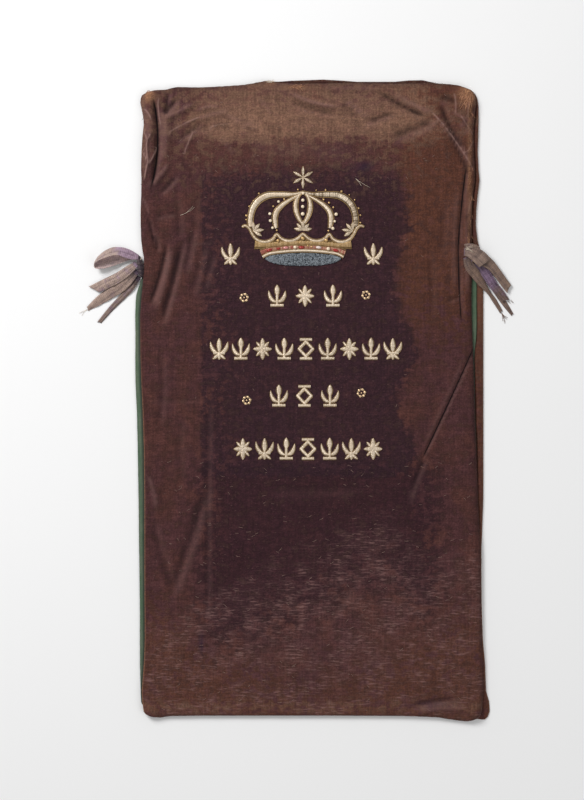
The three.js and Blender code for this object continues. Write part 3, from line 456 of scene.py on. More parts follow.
# Knots: centre, half sizes, turn in plan in degrees, turns of the wound ribbon and looks: brown, and
# darkness with painted shade
Knot = namedtuple("Knot", "centre half turn wraps brown dark")
KNOTS = {
    "tie_left_knot": Knot((-220.4, 172.6, 6), (14.6, 4.4, 5.2), 98, 6, 0.1, 0.88),
    "tie_right_knot": Knot((207.4, 198.4, 11.4), (10.6, 4, 3.4), -12, 4, 0.8, 0.1),
}

# Crown: centre lines with their widths, drawn on the left from the crown's middle
CROWN_ARCHES = {
    "outer": (
        (-67.6, 40.8, 6), (-68, 45.4, 7.2), (-67.2, 56, 7.2), (-63.6, 67, 8), (-56.4, 75.6, 8.5),
        (-46, 81.2, 8.3), (-34.6, 82.4, 7.2), (-23.4, 82.4, 6.6), (-11.6, 83, 3.8),
        (0.8, 85.4, 2.8),
    ),
    "inner": (
        (-2.4, 84.2, 2.6), (-8.4, 80.4, 3), (-18.2, 74.8, 4), (-27.8, 68, 5.6),
        (-34, 60.8, 6.4), (-36.2, 53.6, 6.8), (-35.9, 46.4, 6), (-34.8, 38.8, 4),
    ),
    "centre": (
        (-1.6, 84.6, 2.6), (-5.6, 80.6, 3.2), (-8.8, 73.4, 5.2), (-9.5, 65.6, 5.8),
        (-7.8, 57.4, 5.4), (-4.4, 50, 4.4), (-1.6, 45.4, 3),
    ),
}
CIRCLET = {
    "scallops": (
        (-79, 40.6, 1.6), (-74.6, 42.4, 2.8), (-69.2, 38.6, 3), (-65.6, 31.6, 3),
        (-60.4, 25, 3.4), (-52.6, 21.4, 4), (-45, 21.8, 4), (-38.6, 25.2, 3.4),
        (-33.8, 31.2, 2.8), (-28.6, 26, 3.4), (-21.4, 22.8, 4), (-13, 23, 4),
        (-5.6, 26.8, 3.4), (0, 31.4, 3),
    ),
    "gold_band": (
        (-62.2, 18.6, 12), (-50, 17.2, 7.2), (-32, 18.8, 7.6), (-14, 20, 6), (0, 20.4, 7.4),
    ),
    "jewel_band": ((-54.6, 7.2, 7), (-44, 11, 6.8), (-22, 13.6, 6.6), (0, 14.4, 6.6)),
    "cord_rim": (
        (-52.4, 2, 3), (-44.4, 6, 3.4), (-33.2, 8, 3.6), (-16.8, 9.6, 3.6), (0, 10.2, 3.6),
    ),
}
# Upper and lower edge of the underside at a distance x from the middle
UNDERSIDE = (
    (-49, 0.6, -0.8), (-40.6, 4.2, -5.4), (-28, 5.8, -8.6), (-14, 7.2, -9.8), (0, 7.7, -10),
)
STAR = {"y": 104.6, "petals": 6, "length": 15.6, "width": 4.4}
# Leaf clusters: root, direction in degrees, length and the angles of their lobes to it
Leaves = namedtuple("Leaves", "x y turn long lobes")
LEAF_CLUSTERS = {
    "crown_leaves_left": Leaves(-64, 35.2, 8, 15, (0, 42, 84, -38)),
    "crown_leaves_middle": Leaves(0, 36.2, 90, 14, (0, 42, 78, -42, -78)),
    "crown_leaves_right": Leaves(64, 35.2, 172, 15, (0, -42, -84, 38)),
}
LOBE = {"width": 5.2, "side_share": 0.9, "root": 0.06}

# Beads round the arches: x, y and radius from the crown's middle
PEARLS = (
    (0.1, 83.8, 1.7), (-0.2, 75, 2.1), (-0.4, 66.7, 2.1), (-0.4, 57.3, 2.4),
    (-42.8, 57.5, 2), (-42.1, 48.6, 2), (42.7, 56.9, 2.2), (40.8, 47.8, 1.6),
    (38.5, 38.6, 2.1), (-39.3, 39.5, 1.7), (-31.5, 73.2, 1.7),
    (-10.3, 14.5, 2.1), (32.5, 12.4, 2.3),
)
GOLD_BEADS = (
    (-24.1, 76.4, 1.3), (-38.4, 67.2, 1.3), (-33.8, 36.3, 1.3), (26.5, 75.9, 1.4),
    (33.6, 71.8, 1.5), (39, 65.8, 1.3), (32.8, 35.7, 1.3), (-56.9, 83.8, 1.3),
    (-63.8, 74.5, 1.1), (-69.3, 67.2, 1.2), (-73, 55.2, 1.6), (-73.4, 50, 1),
    (-6.6, 88.8, 1.2), (16.9, 87.9, 1), (29.1, 88.2, 1.3), (49.6, 86.5, 1.5),
    (59.7, 81.9, 1), (66.6, 75.5, 1.1), (71.7, 64.6, 1.3), (74, 55.7, 1.2),
    (74, 46.2, 1.2), (6.3, 16, 1.3), (10.9, 15.1, 1.2), (-32.4, 22.9, 2.2),
    (-0.2, 25.7, 2.4), (29.8, 23.4, 2.4), (-4.4, 20.2, 1.1), (4.4, 20.2, 1.1),
)
# Faceted glass on the band: x, y, length, width, turn and colour
Jewel = namedtuple("Jewel", "x y long wide turn glass")
JEWELS = [Jewel(*row) for row in (
    (-43.5, 10.5, 7, 4, 14, "red"), (-22.3, 13.7, 8.5, 4.5, 6, "rose"),
    (-2, 14.2, 8, 4.4, 0, "red"), (20.1, 14.2, 8, 4.2, -5, "pale"),
    (42.2, 10.3, 9, 4, -12, "red"), (-31.6, 12.6, 4.2, 3.2, 10, "red"),
)]

# Padded figures: strokes from one point to another by a bend, drawn on the right
# side and mirrored where they leave the middle line
Stroke = namedtuple("Stroke", "form start bend end width")
FIGURES = {
    "sprig": [Stroke(*row) for row in (
        ("leaf", (0, 0), (0, 7), (0, 14.4), 7), ("bar", (0, -12), (0, -4), (0, 4), 3.6),
        ("leaf", (0, -7.4), (9.4, -7.6), (10.8, 7), 5),
        ("bar", (-8.6, -12), (0, -12), (8.6, -12), 3.6),
    )],
    "quatrefoil": [Stroke(*row) for row in (
        ("leaf", (0, -1), (0, 6), (0, 14), 6.6), ("leaf", (0, 1), (0, -6), (0, -14), 6.6),
        ("leaf", (-1, 0), (5, 0), (12, 0), 6), ("leaf", (0.4, 0.3), (4.2, 4.6), (8.2, 9.2), 3.6),
        ("leaf", (0.4, -0.3), (4.2, -4.6), (8.2, -9.2), 3.6),
    )],
    "lily": [Stroke(*row) for row in (
        ("leaf", (0, -5), (0, 5), (0, 14), 6.4), ("leaf", (0.5, -5), (9.6, -4.6), (11.2, 9.4), 5),
        ("bar", (-7.6, -5.4), (0, -5.4), (7.6, -5.4), 3.4),
        ("leaf", (0, -3), (0, -9), (0, -14), 5),
        ("leaf", (0.5, -5.4), (3.6, -10.4), (8.4, -13), 3.8),
    )],
    "lozenge": [Stroke(*row) for row in (
        ("bar", (-1, 10.4), (4, 5.4), (9.6, -0.8), 3.8),
        ("bar", (-1, -10.4), (4, -5.4), (9.6, 0.8), 3.8),
        ("bar", (-8, 12.2), (0, 12.2), (8, 12.2), 3.6),
        ("bar", (-8, -12.2), (0, -12.2), (8, -12.2), 3.6),
    )],
}
# Widths along a petal, a leaf and a bar, as shares of the stroke's width
FORMS = {
    "petal": ((0, 0.05), (0.2, 0.36), (0.42, 0.8), (0.6, 1), (0.8, 0.6), (1, 0.03)),
    "leaf": ((0, 0.06), (0.12, 0.5), (0.34, 0.95), (0.66, 0.9), (0.9, 0.4), (1, 0.04)),
    "bar": ((0, 1), (0.5, 1), (1, 1)),
}
# A stroke is drawn once where its two ends balance about the middle line this closely
MIDDLE_TOLERANCE = 0.1
# Rows of figures: middle, pitch and order from the left
FigureRow = namedtuple("FigureRow", "x y pitch kinds")
FIGURE_ROWS = (
    FigureRow(-11.7, 188.7, 184.2, ("lily", "lily")),
    FigureRow(-7.7, 134.8, 36, ("sprig", "quatrefoil", "sprig")),
    FigureRow(-6.5, 66.4, 28, (
        "lily", "sprig", "quatrefoil", "sprig", "lozenge", "sprig", "quatrefoil", "sprig", "lily",
    )),
    FigureRow(-8.4, 5.8, 33, ("sprig", "lozenge", "sprig")),
    FigureRow(-3.9, -62.6, 28, (
        "quatrefoil", "lily", "sprig", "lozenge", "sprig", "lily", "quatrefoil",
    )),
)
ROSETTES = ((-86.2, 132.7), (71, 136), (-82.9, 0.1), (65, 9.7))


def column(rows, name):
    """One named column of a table."""
    return [getattr(row, name) for row in rows]


def read(rows, key, name, at):
    """Straight-line reading of a table's column."""
    return np.interp(at, column(rows, key), column(rows, name))


def inside(x, y, left, right):
    """How far points lie inside a cloth's two named side edges."""
    return np.minimum(x - read(SIDES, "y", left, y), read(SIDES, "y", right, y) - x)


def blend(low, high, share):
    """A value the given share of the way from low to high."""
    return low + (high - low) * share


def ease(value, low, high):
    """0 below low, 1 above high and a smooth change between them."""
    share = np.clip((value - low) / (high - low), 0, 1)
    return share * share * (3 - 2 * share)


def hump(value, middle, reach):
    """1 at the middle, falling away smoothly over the reach."""
    return np.exp(-((value - middle) / reach) ** 2)


def spread(spots, x, y):
    """What soft-edged spots add up to at every point."""
    return sum(
        spot.strength * hump(x, spot.x, spot.across) * hump(y, spot.y, spot.along)
        for spot in spots
    )


def grid_lines(bands):
    """Grid lines from 0 to 1 in bands, each a share of the width with its steps."""
    lines = [0.0]
    for share, steps in bands:
        lines.extend(lines[-1] + share * (i + 1) / steps for i in range(steps))
    return np.array(lines) / lines[-1]


def smooth_line(rows, step):
    """Rows every `step` mm along a smooth curve through the given rows."""
    rows = np.array(rows, float)
    along = lengths_along(rows[:, :2])
    slopes = np.gradient(rows, along, axis=0)
    at = np.linspace(0, along[-1], max(3, round(along[-1] / step) + 1))
    k = np.clip(np.searchsorted(along, at, side="right") - 1, 0, len(along) - 2)
    gap = (along[k + 1] - along[k])[:, None]
    t = (at - along[k])[:, None] / gap
    return (
        (2 * t**3 - 3 * t**2 + 1) * rows[k] + (t**3 - 2 * t**2 + t) * gap * slopes[k]
        + (3 * t**2 - 2 * t**3) * rows[k + 1] + (t**3 - t**2) * gap * slopes[k + 1]
    )


def bent(line, at, axis):
    """One coordinate of a bent line from start by bend to end, at shares of its way."""
    curve = (1 - at) ** 2 * line.start[axis] + 2 * at * (1 - at) * line.bend[axis]
    return curve + at * at * line.end[axis]


def lengths_along(points):
    """How far each point lies along its line."""
    gaps = np.linalg.norm(np.diff(points, axis=0), axis=1)
    return np.concatenate([[0], np.cumsum(gaps)])


def directions(points):
    """Unit vectors along a line of points."""
    along = np.gradient(points, axis=0)
    return along / np.maximum(np.linalg.norm(along, axis=1), 1e-9)[:, None]


def level_side(along):
    """Unit vectors that lie level, across a line's directions."""
    side = np.cross(along, (0, 0, 1))
    return side / np.maximum(np.linalg.norm(side, axis=1), 1e-9)[:, None]


def flat_side(along):
    """Vectors across the directions of a line on the plan."""
    return np.stack([-along[:, 1], along[:, 0]], axis=1)


def add(tree, kind, inputs=None, **settings):
    """Adds a node with its settings, and fills its inputs with values or links."""
    node = tree.nodes.new(kind)
    for name, value in settings.items():
        setattr(node, name, value)
    for name, value in (inputs or {}).items():
        if isinstance(value, bpy.types.NodeSocket):
            tree.links.new(value, node.inputs[name])
        else:
            node.inputs[name].default_value = value
    return node


def start_material(name, **shader_values):
    """A material with its shader, whose plain values are set on its own sockets."""
    material = bpy.data.materials.new(name)
    material.use_nodes = True
    tree = material.node_tree
    tree.nodes.clear()
    values = {key.replace("_", " "): value for key, value in shader_values.items()}
    shader = add(tree, "ShaderNodeBsdfPrincipled", values)
    add(tree, "ShaderNodeOutputMaterial", {"Surface": shader.outputs["BSDF"]})
    return material, tree, shader


def mottle(tree, across, along, low=0.35, high=0.65, detail=2.0, shift=0.0, least=0.0):
    """Cloudy patches from `least` to 1, `across` by `along` mm in size."""
    place = add(tree, "ShaderNodeTexCoord").outputs["Object"]
    scaled = add(tree, "ShaderNodeMapping", {
        "Vector": place,
        "Location": (shift, shift, shift),
        "Scale": (1 / (across * MM), 1 / (along * MM), 1 / (across * MM)),
    })
    cloud = add(tree, "ShaderNodeTexNoise", {
        "Vector": scaled.outputs["Vector"], "Scale": 1.0, "Detail": detail, "Roughness": 0.6,
    })
    return add(tree, "ShaderNodeMapRange", {
        "Value": cloud.outputs["Fac"], "From Min": low, "From Max": high, "To Min": least,
    }, interpolation_type="SMOOTHSTEP").outputs["Result"]


def product(tree, factors):
    """Shares multiplied together, where a word names a value that the mesh carries."""
    result = None
    for factor in factors if isinstance(factors, tuple) else (factors,):
        if isinstance(factor, str):
            factor = add(tree, "ShaderNodeAttribute", attribute_name=factor).outputs["Fac"]
        result = factor if result is None else add(
            tree, "ShaderNodeMath", {0: result, 1: factor}, operation="MULTIPLY",
        ).outputs["Value"]
    return result


def ragged(tree, name, cloud, reach):
    """A value that the mesh carries, its border broken up by a cloud."""
    moved_share = add(tree, "ShaderNodeMath", {
        0: cloud, 1: reach, 2: product(tree, name),
    }, operation="MULTIPLY_ADD").outputs["Value"]
    return add(tree, "ShaderNodeMapRange", {
        "Value": moved_share, "From Min": reach / 2 + 0.12, "From Max": reach / 2 + 0.88,
    }, interpolation_type="SMOOTHSTEP").outputs["Result"]


def layered(tree, base, layers):
    """Colours laid over a base, each with the shares that cover it."""
    colour = base
    for shares, over in layers:
        colour = add(tree, "ShaderNodeMix", {
            0: product(tree, shares),
            6: colour if isinstance(colour, bpy.types.NodeSocket) else (*colour, 1),
            7: over if isinstance(over, bpy.types.NodeSocket) else (*over, 1),
        }, data_type="RGBA").outputs[2]
    return colour


def dress(tree, shader, colour, relief=None, depth=0.0):
    """Gives a shader its colour, and a relief from 0 to 1 that stands for `depth` mm."""
    tree.links.new(colour, shader.inputs["Base Color"])
    if relief is not None:
        bump = add(tree, "ShaderNodeBump", {
            "Height": relief, "Distance": depth * MM, "Strength": 1.0,
        })
        tree.links.new(bump.outputs["Normal"], shader.inputs["Normal"])


def finish_piece(name, bm, material, nodes=()):
    """Puts a mesh into the frame as a piece that stands for its nodes."""
    bmesh.ops.transform(bm, matrix=TO_FRAME, verts=bm.verts)
    mesh = bpy.data.meshes.new(name)
    bm.to_mesh(mesh)
    bm.free()
    mesh.materials.append(material)
    mesh.shade_smooth()
    piece = bpy.data.objects.new(name, mesh)
    bpy.context.scene.collection.objects.link(piece)
    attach(piece, "root")
    if nodes:
        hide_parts(*nodes)
    return piece


def give_marks(piece, marks):
    """Writes values on a piece's points for its material."""
    for name, values in marks.items():
        attribute = piece.data.attributes.new(name, "FLOAT", "POINT")
        attribute.data.foreach_set("value", np.asarray(values, np.float32))


def closed_sheet(columns, rows, place, faces):
    """A closed cloth over grid lines, where place gives x and y and faces the under and
    upper height: its mesh, and the x and y of its points."""
    bm = bmesh.new()
    bmesh.ops.create_grid(bm, x_segments=len(columns) - 1, y_segments=len(rows) - 1, size=0.5)
    under = set(bm.verts)
    bmesh.ops.extrude_face_region(bm, geom=bm.faces[:])
    points = np.array([v.co for v in bm.verts])
    upper = np.array([v not in under for v in bm.verts])
    u = columns[np.rint((points[:, 0] + 0.5) * (len(columns) - 1)).astype(int)]
    v = rows[np.rint((points[:, 1] + 0.5) * (len(rows) - 1)).astype(int)]
    x, y = place(u, v)
    low, high = faces(x, y)
    for vert, at in zip(bm.verts, zip(x, y, np.where(upper, high, low))):
        vert.co = at
    return bm, x, y


def add_band(bm, ring, marks=None):
    """A closed band through rings of points, its two ends pinched shut."""
    rings = np.concatenate([
        (ring[:1] + ring[:1, ::-1]) / 2, ring, (ring[-1:] + ring[-1:, ::-1]) / 2,
    ])
    rings = np.concatenate([rings, rings[:, :1]], axis=1)
    rows, columns = rings.shape[:2]
    marks = marks or {}
    for name in marks:
        if name not in bm.verts.layers.float:
            bm.verts.layers.float.new(name)
    grid = bmesh.ops.create_grid(bm, x_segments=columns - 1, y_segments=rows - 1, size=1)
    for vert, place in zip(grid["verts"], rings.reshape(-1, 3)):
        vert.co = place
    for name, values in marks.items():
        layer = bm.verts.layers.float[name]
        full = np.concatenate([values[:1], values, values[-1:]])
        full = np.concatenate([full, full[:, :1]], axis=1)
        for vert, value in zip(grid["verts"], full.reshape(-1)):
            vert[layer] = value


def absorb(bm, part):
    """Adds a small mesh to a large one, which is quicker than growing the large one."""
    mesh = bpy.data.meshes.new("part")
    part.to_mesh(mesh)
    part.free()
    bm.from_mesh(mesh)
    bpy.data.meshes.remove(mesh)


def weld(bm):
    """Closes the seams of a mesh made of bands and turns its faces outwards."""
    bmesh.ops.remove_doubles(bm, verts=bm.verts, dist=1e-3)
    bmesh.ops.recalc_face_normals(bm, faces=bm.faces)


# Velvet panels, on grids that are finer where folds and edges need it
FRONT_COLUMNS = grid_lines([(0.17, 46), (0.25, 22), (0.40, 52), (0.18, 46)])
FRONT_ROWS = grid_lines([(0.03, 12), (0.37, 70), (0.24, 82), (0.27, 76), (0.09, 44)])
BACK_COLUMNS = grid_lines([(0.04, 8), (0.88, 40), (0.08, 22)])
BACK_ROWS = grid_lines([(0.03, 10), (0.57, 70), (0.34, 60), (0.06, 16)])
# Height of the front panel's edges where they are sewn, open and hemmed
SEWN_EDGE = 4.9
OPEN_EDGE = 5.9
HEM_EDGE = 4.7
# Unevenness in mm of the slack cloth, its sides, its top edges and its hems
SLACK = 1.2
WAVY_SIDE = 0.5
WAVY_TOP = 0.9
WAVY_HEM = 0.4
# The back panel's heights over the table: its under face, its edge, its single cloth, and
# its turned hem where the sides are open and where they are sewn
BACK_UNDER = 0.1
BACK_EDGE = 1.2
BACK_SINGLE = 2.2
BACK_HEM = (3.7, 4.4)


def place_on_cloth(left, right, bottom, top, u, v):
    """Place of grid line (u, v) on a cloth whose edges are named columns of the tables."""
    middle = blend(*STRAIGHT_SIDES, u)
    low = read(ENDS, "x", bottom, middle) if isinstance(bottom, str) else bottom
    high = read(ENDS, "x", top, middle) if isinstance(top, str) else top
    low = low + WAVY_HEM * ripple(middle * 9, 0 * middle, 31)
    high = high + WAVY_TOP * ripple(middle * 9, 0 * middle, 32)
    y = blend(low, high, v)
    x = blend(read(SIDES, "y", left, y), read(SIDES, "y", right, y), u)
    return x + WAVY_SIDE * ripple(y * 7, 0 * y + 9, 33) * (2 * u - 1), y


# How deep a trough must be for full painted shade and how high a ridge for full painted highlight, and the
# share of a fold over which they fade at each end
FULL_TROUGH = 2.2
FULL_RIDGE = 2.4
FOLD_FADE = 0.2
# Half widths of the fine painted lines, dark shade along creases and light highlight along
# crests, as shares of their fold's reach, how many half widths their mark covers, the depths
# between which a trough comes to have one, and the reach below which a ridge has one
LINE_HALF = {"crease": 0.52, "crest": 0.6}
LINE_RANGE = 12
SHARP = (2.2, 3.6)
NARROW = 1.9


def on_fold(fold, x, y):
    """Every point's distance from a fold's line, its side of it as 1 or -1, how far along
    it is, and how much it lies on the side away from the light."""
    at = np.linspace(0, 1, 13)
    line = [bent(fold, at, axis) for axis in (0, 1)]
    best = np.full_like(x, np.inf)
    side = np.ones_like(x)
    along = np.zeros_like(x)
    away = np.zeros_like(x)
    for i in range(len(at) - 1):
        dx, dy = line[0][i + 1] - line[0][i], line[1][i + 1] - line[1][i]
        share = ((x - line[0][i]) * dx + (y - line[1][i]) * dy) / (dx * dx + dy * dy)
        share = np.clip(share, 0, 1)
        off_x, off_y = x - line[0][i] - share * dx, y - line[1][i] - share * dy
        distance = np.hypot(off_x, off_y)
        nearer = distance < best
        away = np.where(nearer, (off_x - off_y) / math.sqrt(2) / np.maximum(distance, 0.1), away)
        best = np.where(nearer, distance, best)
        side = np.where(nearer & (dx * off_y < dy * off_x), -1, np.where(nearer, 1, side))
        along = np.where(nearer, (i + share) / (len(at) - 1), along)
    return best, side, along, away


def fold_relief(x, y):
    """Rise of the folds, and the marks of their troughs and ridges and of fine lines, where shade and
    highlight are painted.
    """
    rise = np.zeros_like(x)
    marks = {name: np.zeros_like(x) for name in ("trough", "ridge", "crease", "crest")}
    marks |= {f"{name}_line": np.full_like(x, 0.5) for name in LINE_HALF}
    for fold in FOLDS:
        line = np.array([fold.start, fold.bend, fold.end])
        margin = max(3 * fold.reach, 8)
        low, high = line.min(axis=0) - margin, line.max(axis=0) + margin
        near = np.nonzero((x > low[0]) & (x < high[0]) & (y > low[1]) & (y < high[1]))
        distance, side, along, away = on_fold(fold, x[near], y[near])
        beside = hump(distance, 1.4 * fold.reach, 0.9 * fold.reach) * np.clip(away, 0, 1)
        fade = ease(along, 0, FOLD_FADE) * ease(1 - along, 0, FOLD_FADE)
        form = fade * hump(distance, 0, fold.reach)
        rise[near] += fold.rise * form
        # A trough gets painted shade, and painted highlight on its side away from the light; a ridge gets
        # painted highlight, and painted shade on its side away from the light
        if fold.rise < 0:
            deep = min(-fold.rise / FULL_TROUGH, 1)
            kind, sharp = "crease", ease(-fold.rise, *SHARP)
            marks["trough"][near] += deep * form**1.5 * (1 - 0.4 * sharp)
            marks["ridge"][near] += deep * 0.75 * fade * beside
        else:
            tall = min(fold.rise / FULL_RIDGE, 1)
            kind, sharp = "crest", tall * (fold.reach < NARROW)
            marks["ridge"][near] += tall * form**2
            marks["trough"][near] += tall * 0.6 * fade * beside
        # A fine line is drawn from its distance, which stays true between mesh points
        half = LINE_HALF[kind] * fold.reach
        strength = sharp * ease(fade, 0, 0.6) * hump(distance, 0, max(2.4 * half, 3.2))
        stronger = strength > marks[kind][near]
        signed = 0.5 + side * distance / half / LINE_RANGE
        marks[kind][near] = np.where(stronger, strength, marks[kind][near])
        kept = marks[f"{kind}_line"][near]
        marks[f"{kind}_line"][near] = np.where(stronger, signed, kept)
    return rise, marks


def ripple(x, y, seed):
    """Small unevenness of slack cloth, in mm."""
    draw = random.Random(seed)
    wave = 0.0 * (x + y)
    for _ in range(14):
        length = draw.uniform(26, 90)
        turn = draw.uniform(0, math.pi)
        shift = draw.uniform(0, 2 * math.pi)
        along = x * math.cos(turn) + y * math.sin(turn)
        wave += np.sin(2 * math.pi * along / length + shift) * length / 90
    return wave / 14


def front_height(x, y):
    """Height of the front panel's upper face."""
    velvet = bpy.context.scene.mantle_velvet
    rise = fold_relief(x, y)[0] + spread(SWELLS, x, y)
    rise = rise * velvet.fold_depth + SLACK * ripple(x, y, 3)
    outside = np.maximum.reduce([
        FIELD["left"] - x, x - FIELD["right"], FIELD["bottom"] - y, y - FIELD["top"],
    ])
    height = FIELD_TOP + rise * ease(outside, 0, FIELD["blend"])
    height = np.maximum(height, LINING_TOP + CLEARANCE + velvet.thickness)
    sewn = ease(y, *SLIT_END)
    side = inside(x, y, "front_left", "front_right")
    edge = blend(OPEN_EDGE, SEWN_EDGE, sewn)
    height = blend(edge, height, rolled(side / blend(3, 9, sewn)))
    height = blend(SEWN_EDGE, height, rolled((read(ENDS, "x", "front_top", x) - y) / 8))
    return blend(HEM_EDGE, height, rolled((y - read(ENDS, "x", "front_bottom", x)) / 4))


def rolled(share):
    """Height of a rounded edge as a share, at a share of its reach from the edge."""
    return np.sqrt(1 - (1 - np.clip(share, 0, 1)) ** 2)


def velvet_wear_and_shade(x, y):
    """How light, dye and hands have changed the front panel, and where shade and highlight are painted on
    it, each from 0 to 1.
    """
    lines = fold_relief(x, y)[1]
    wander = 10 * ripple(x * 1.7, y * 1.7, 11) + 6 * ripple(x * 4, y * 4, 12)
    top_edge = read(ENDS, "x", "front_top", x) - y
    side = inside(x, y, "front_left", "front_right")
    # Light has bleached the top, least at its corners and at the right, and the hem
    faded = ease(y + 2 * wander, 308, 352) * (1 - 0.45 * ease(np.abs(x - 15), 120, 190))
    faded *= 1 - 0.4 * ease(x, 120, 180)
    faded *= 0.62 + 0.3 * hump(y + wander, 358, 22) + 0.16 * hump(x, -75, 60) * hump(y, 360, 30)
    everywhere = 0.3 * ease(y, 230, 330) * (1 - 0.7 * ease(x, 100, 170))
    faded = np.maximum(faded, everywhere) + 0.32 * hump(y, -396, 11)
    # The cloth has kept its dye round the embroidery, up to a wavy border at the right
    right_border = 104 + 30 * hump(y, 66, 46) + 28 * hump(y, -62, 40) + 20 * hump(y, 240, 60)
    unfaded = (
        ease(x + 0.3 * wander, -146, -138) * ease(right_border - x + 2 * wander, -14, 10)
        * ease(y + 0.5 * wander, -102, -95) * ease(-(y + 2 * wander), -318, -280)
        * (0.7 + 0.3 * ease(x + wander, -140, -80))
    )
    # Below the embroidery it is plum, and past a diagonal line its pile is crushed
    diagonal = -(y - 0.46 * x + 2 * wander) - 95 * ease(x, 90, 165)
    plum = ease(-(y + wander), 60, 104) * (1 - ease(diagonal, 200, 330))
    plum *= ease(170 - np.abs(x - 10 + 2 * wander), -20, 60)
    warm = np.maximum(
        ease(x + 2 * wander, 80, 140) * ease(y, 20, 190),
        0.75 * ease(-y + 0.55 * np.abs(x) + 3 * wander, 330, 440),
    )
    crushed = ease(diagonal + wander, 165, 225)
    # The pile is gone at the corners, along the open left edge and along the right fold
    rubbed = (
        spread(WORN_THROUGH, x, y)
        + 0.55 * hump(side, 0, 1.1) * ease(-y, -150, 60) * (x < 0)
        + 0.5 * hump(x, 205, 2.5) * ease(y, 180, 240)
    )
    # Painted shade along the top edge and the sides, added to the troughs' painted shade
    shade = 0.5 * hump(top_edge, 0, 5) + 0.45 * hump(side, 0, 5) * ease(x, -100, 100)
    marks = {
        **lines, "faded": faded, "unfaded": unfaded, "plum": plum, "warm": warm,
        "crushed": crushed, "rubbed": rubbed, "stain": spread(STAINS, x, y),
        "trough": lines["trough"] + shade,
    }
    return {name: np.clip(values, 0, 1) for name, values in marks.items()}


def fine_line(tree, name):
    """A crisp line along creases or crests, from the distance that the mesh carries."""
    signed = add(tree, "ShaderNodeMath", {
        0: product(tree, f"{name}_line"), 1: 0.5,
    }, operation="SUBTRACT").outputs["Value"]
    distance = add(tree, "ShaderNodeMath", {0: signed}, operation="ABSOLUTE").outputs["Value"]
    return add(tree, "ShaderNodeMapRange", {
        "Value": distance, "From Min": 0.4 / LINE_RANGE, "From Max": 1.4 / LINE_RANGE,
        "To Min": 1.0, "To Max": 0.0,
    }, interpolation_type="SMOOTHSTEP").outputs["Result"]


def worn_velvet():
    """Cotton velvet, woven with a short cut pile: the pile gives a dull, deep face with a
    soft light edge, and where it is crushed it lies in pale streaks along the weft."""
    velvet = bpy.context.scene.mantle_velvet
    material, tree, shader = start_material(
        "Worn cotton velvet", Roughness=0.92, Specular_IOR_Level=0.16,
        Sheen_Weight=0.16, Sheen_Roughness=0.4, Sheen_Tint=(0.85, 0.62, 0.55, 1),
    )
    patches = mottle(tree, 42, 50, 0.4, 0.62, detail=3)
    cloud = mottle(tree, 11, 9, 0.36, 0.64, detail=4, shift=3.1)
    tufts = mottle(tree, velvet.pile, velvet.pile, 0.34, 0.66, detail=3, shift=7.7)
    worn_tufts = mottle(tree, velvet.pile, velvet.pile, 0.34, 0.66, detail=3, shift=7.7, least=0.2)
    # Rows of pile along the warp and the weft
    rows = mottle(tree, 2.8, 42, 0.36, 0.64, detail=3, shift=11.3)
    wefts = mottle(tree, 20, 2.3, 0.36, 0.64, detail=3, shift=17.9)
    # Pile rubbed flat along the weft
    streaks = mottle(tree, 13, 2.2, 0.5, 0.66, detail=5, shift=23.5)
    specks = mottle(tree, 3.4, 2.2, 0.58, 0.7, detail=3, shift=29.9)
    islands = mottle(tree, 34, 22, 0.4, 0.62, detail=4, shift=31.7, least=0.2)
    bands = {"faded": 0.5, "unfaded": 0.7, "plum": 0.6, "warm": 0.9, "crushed": 0.8}
    broken = {name: ragged(tree, name, cloud, reach) for name, reach in bands.items()}
    threadbare = mottle(tree, 20, 2.3, 0.36, 0.64, detail=3, shift=17.9, least=0.55)
    flat = product(tree, ("crushed", streaks, islands))
    colour = layered(tree, velvet.plain, [
        ((patches, 0.4), velvet.warm),
        (broken["warm"], velvet.warm),
        ((broken["plum"], 0.85), velvet.plum),
        ((broken["unfaded"], 0.85), velvet.unfaded),
        ((broken["crushed"], islands, 0.18), velvet.crushed),
        ((broken["faded"], threadbare), velvet.faded),
        ((rows, 0.22), velvet.hollow_shade),
        ((wefts, 0.2), velvet.hollow_shade),
        ((tufts, 0.36), velvet.hollow_shade),
        ((cloud, 0.34), velvet.hollow_shade),
        ((flat, 0.62), velvet.crushed),
        ((specks, tufts, 0.3), velvet.crushed),
        (("stain", 0.8), velvet.stain),
        # Painted light: highlight on the folds' ridges and crests, shade in their troughs and creases
        (("ridge", 0.46), velvet.crushed),
        (("trough", 0.72), velvet.hollow_shade),
        (("crest", fine_line(tree, "crest"), 0.5), velvet.crest),
        (("crease", fine_line(tree, "crease")), (0.004, 0.002, 0.003)),
        (("rubbed", worn_tufts), velvet.bare),
    ])
    relief = layered(tree, tufts, [(0.35, rows), (0.25, wefts), ((flat, 0.5), (1, 1, 1))])
    dress(tree, shader, colour, relief, 0.6)
    return material


class MANTLE_OT_front_panel(Operator):
    """Lays the front velvet panel with its folds and its wear."""

    bl_idname = "mantle.front_panel"
    bl_label = "Front Panel"

    def execute(self, context):
        thickness = context.scene.mantle_velvet.thickness

        def place(u, v):
            return place_on_cloth("front_left", "front_right", "front_bottom", "front_top", u, v)

        def faces(x, y):
            top = front_height(x, y)
            return top - thickness, top

        bm, x, y = closed_sheet(FRONT_COLUMNS, FRONT_ROWS, place, faces)
        panel = finish_piece("velvet_front", bm, worn_velvet(), ["front_panel"])
        give_marks(panel, velvet_wear_and_shade(x, y))
        return {"FINISHED"}


def hem_start(y):
    """Where the back panel's turned hem begins at the right."""
    beside = read(SIDES, "y", "front_right", y) + HEM_BESIDE_FRONT
    narrow = np.minimum(HEM_START, beside)
    return blend(blend(narrow, HEM_START, ease(y, *OPENING)), beside, ease(y, *SLIT_END))


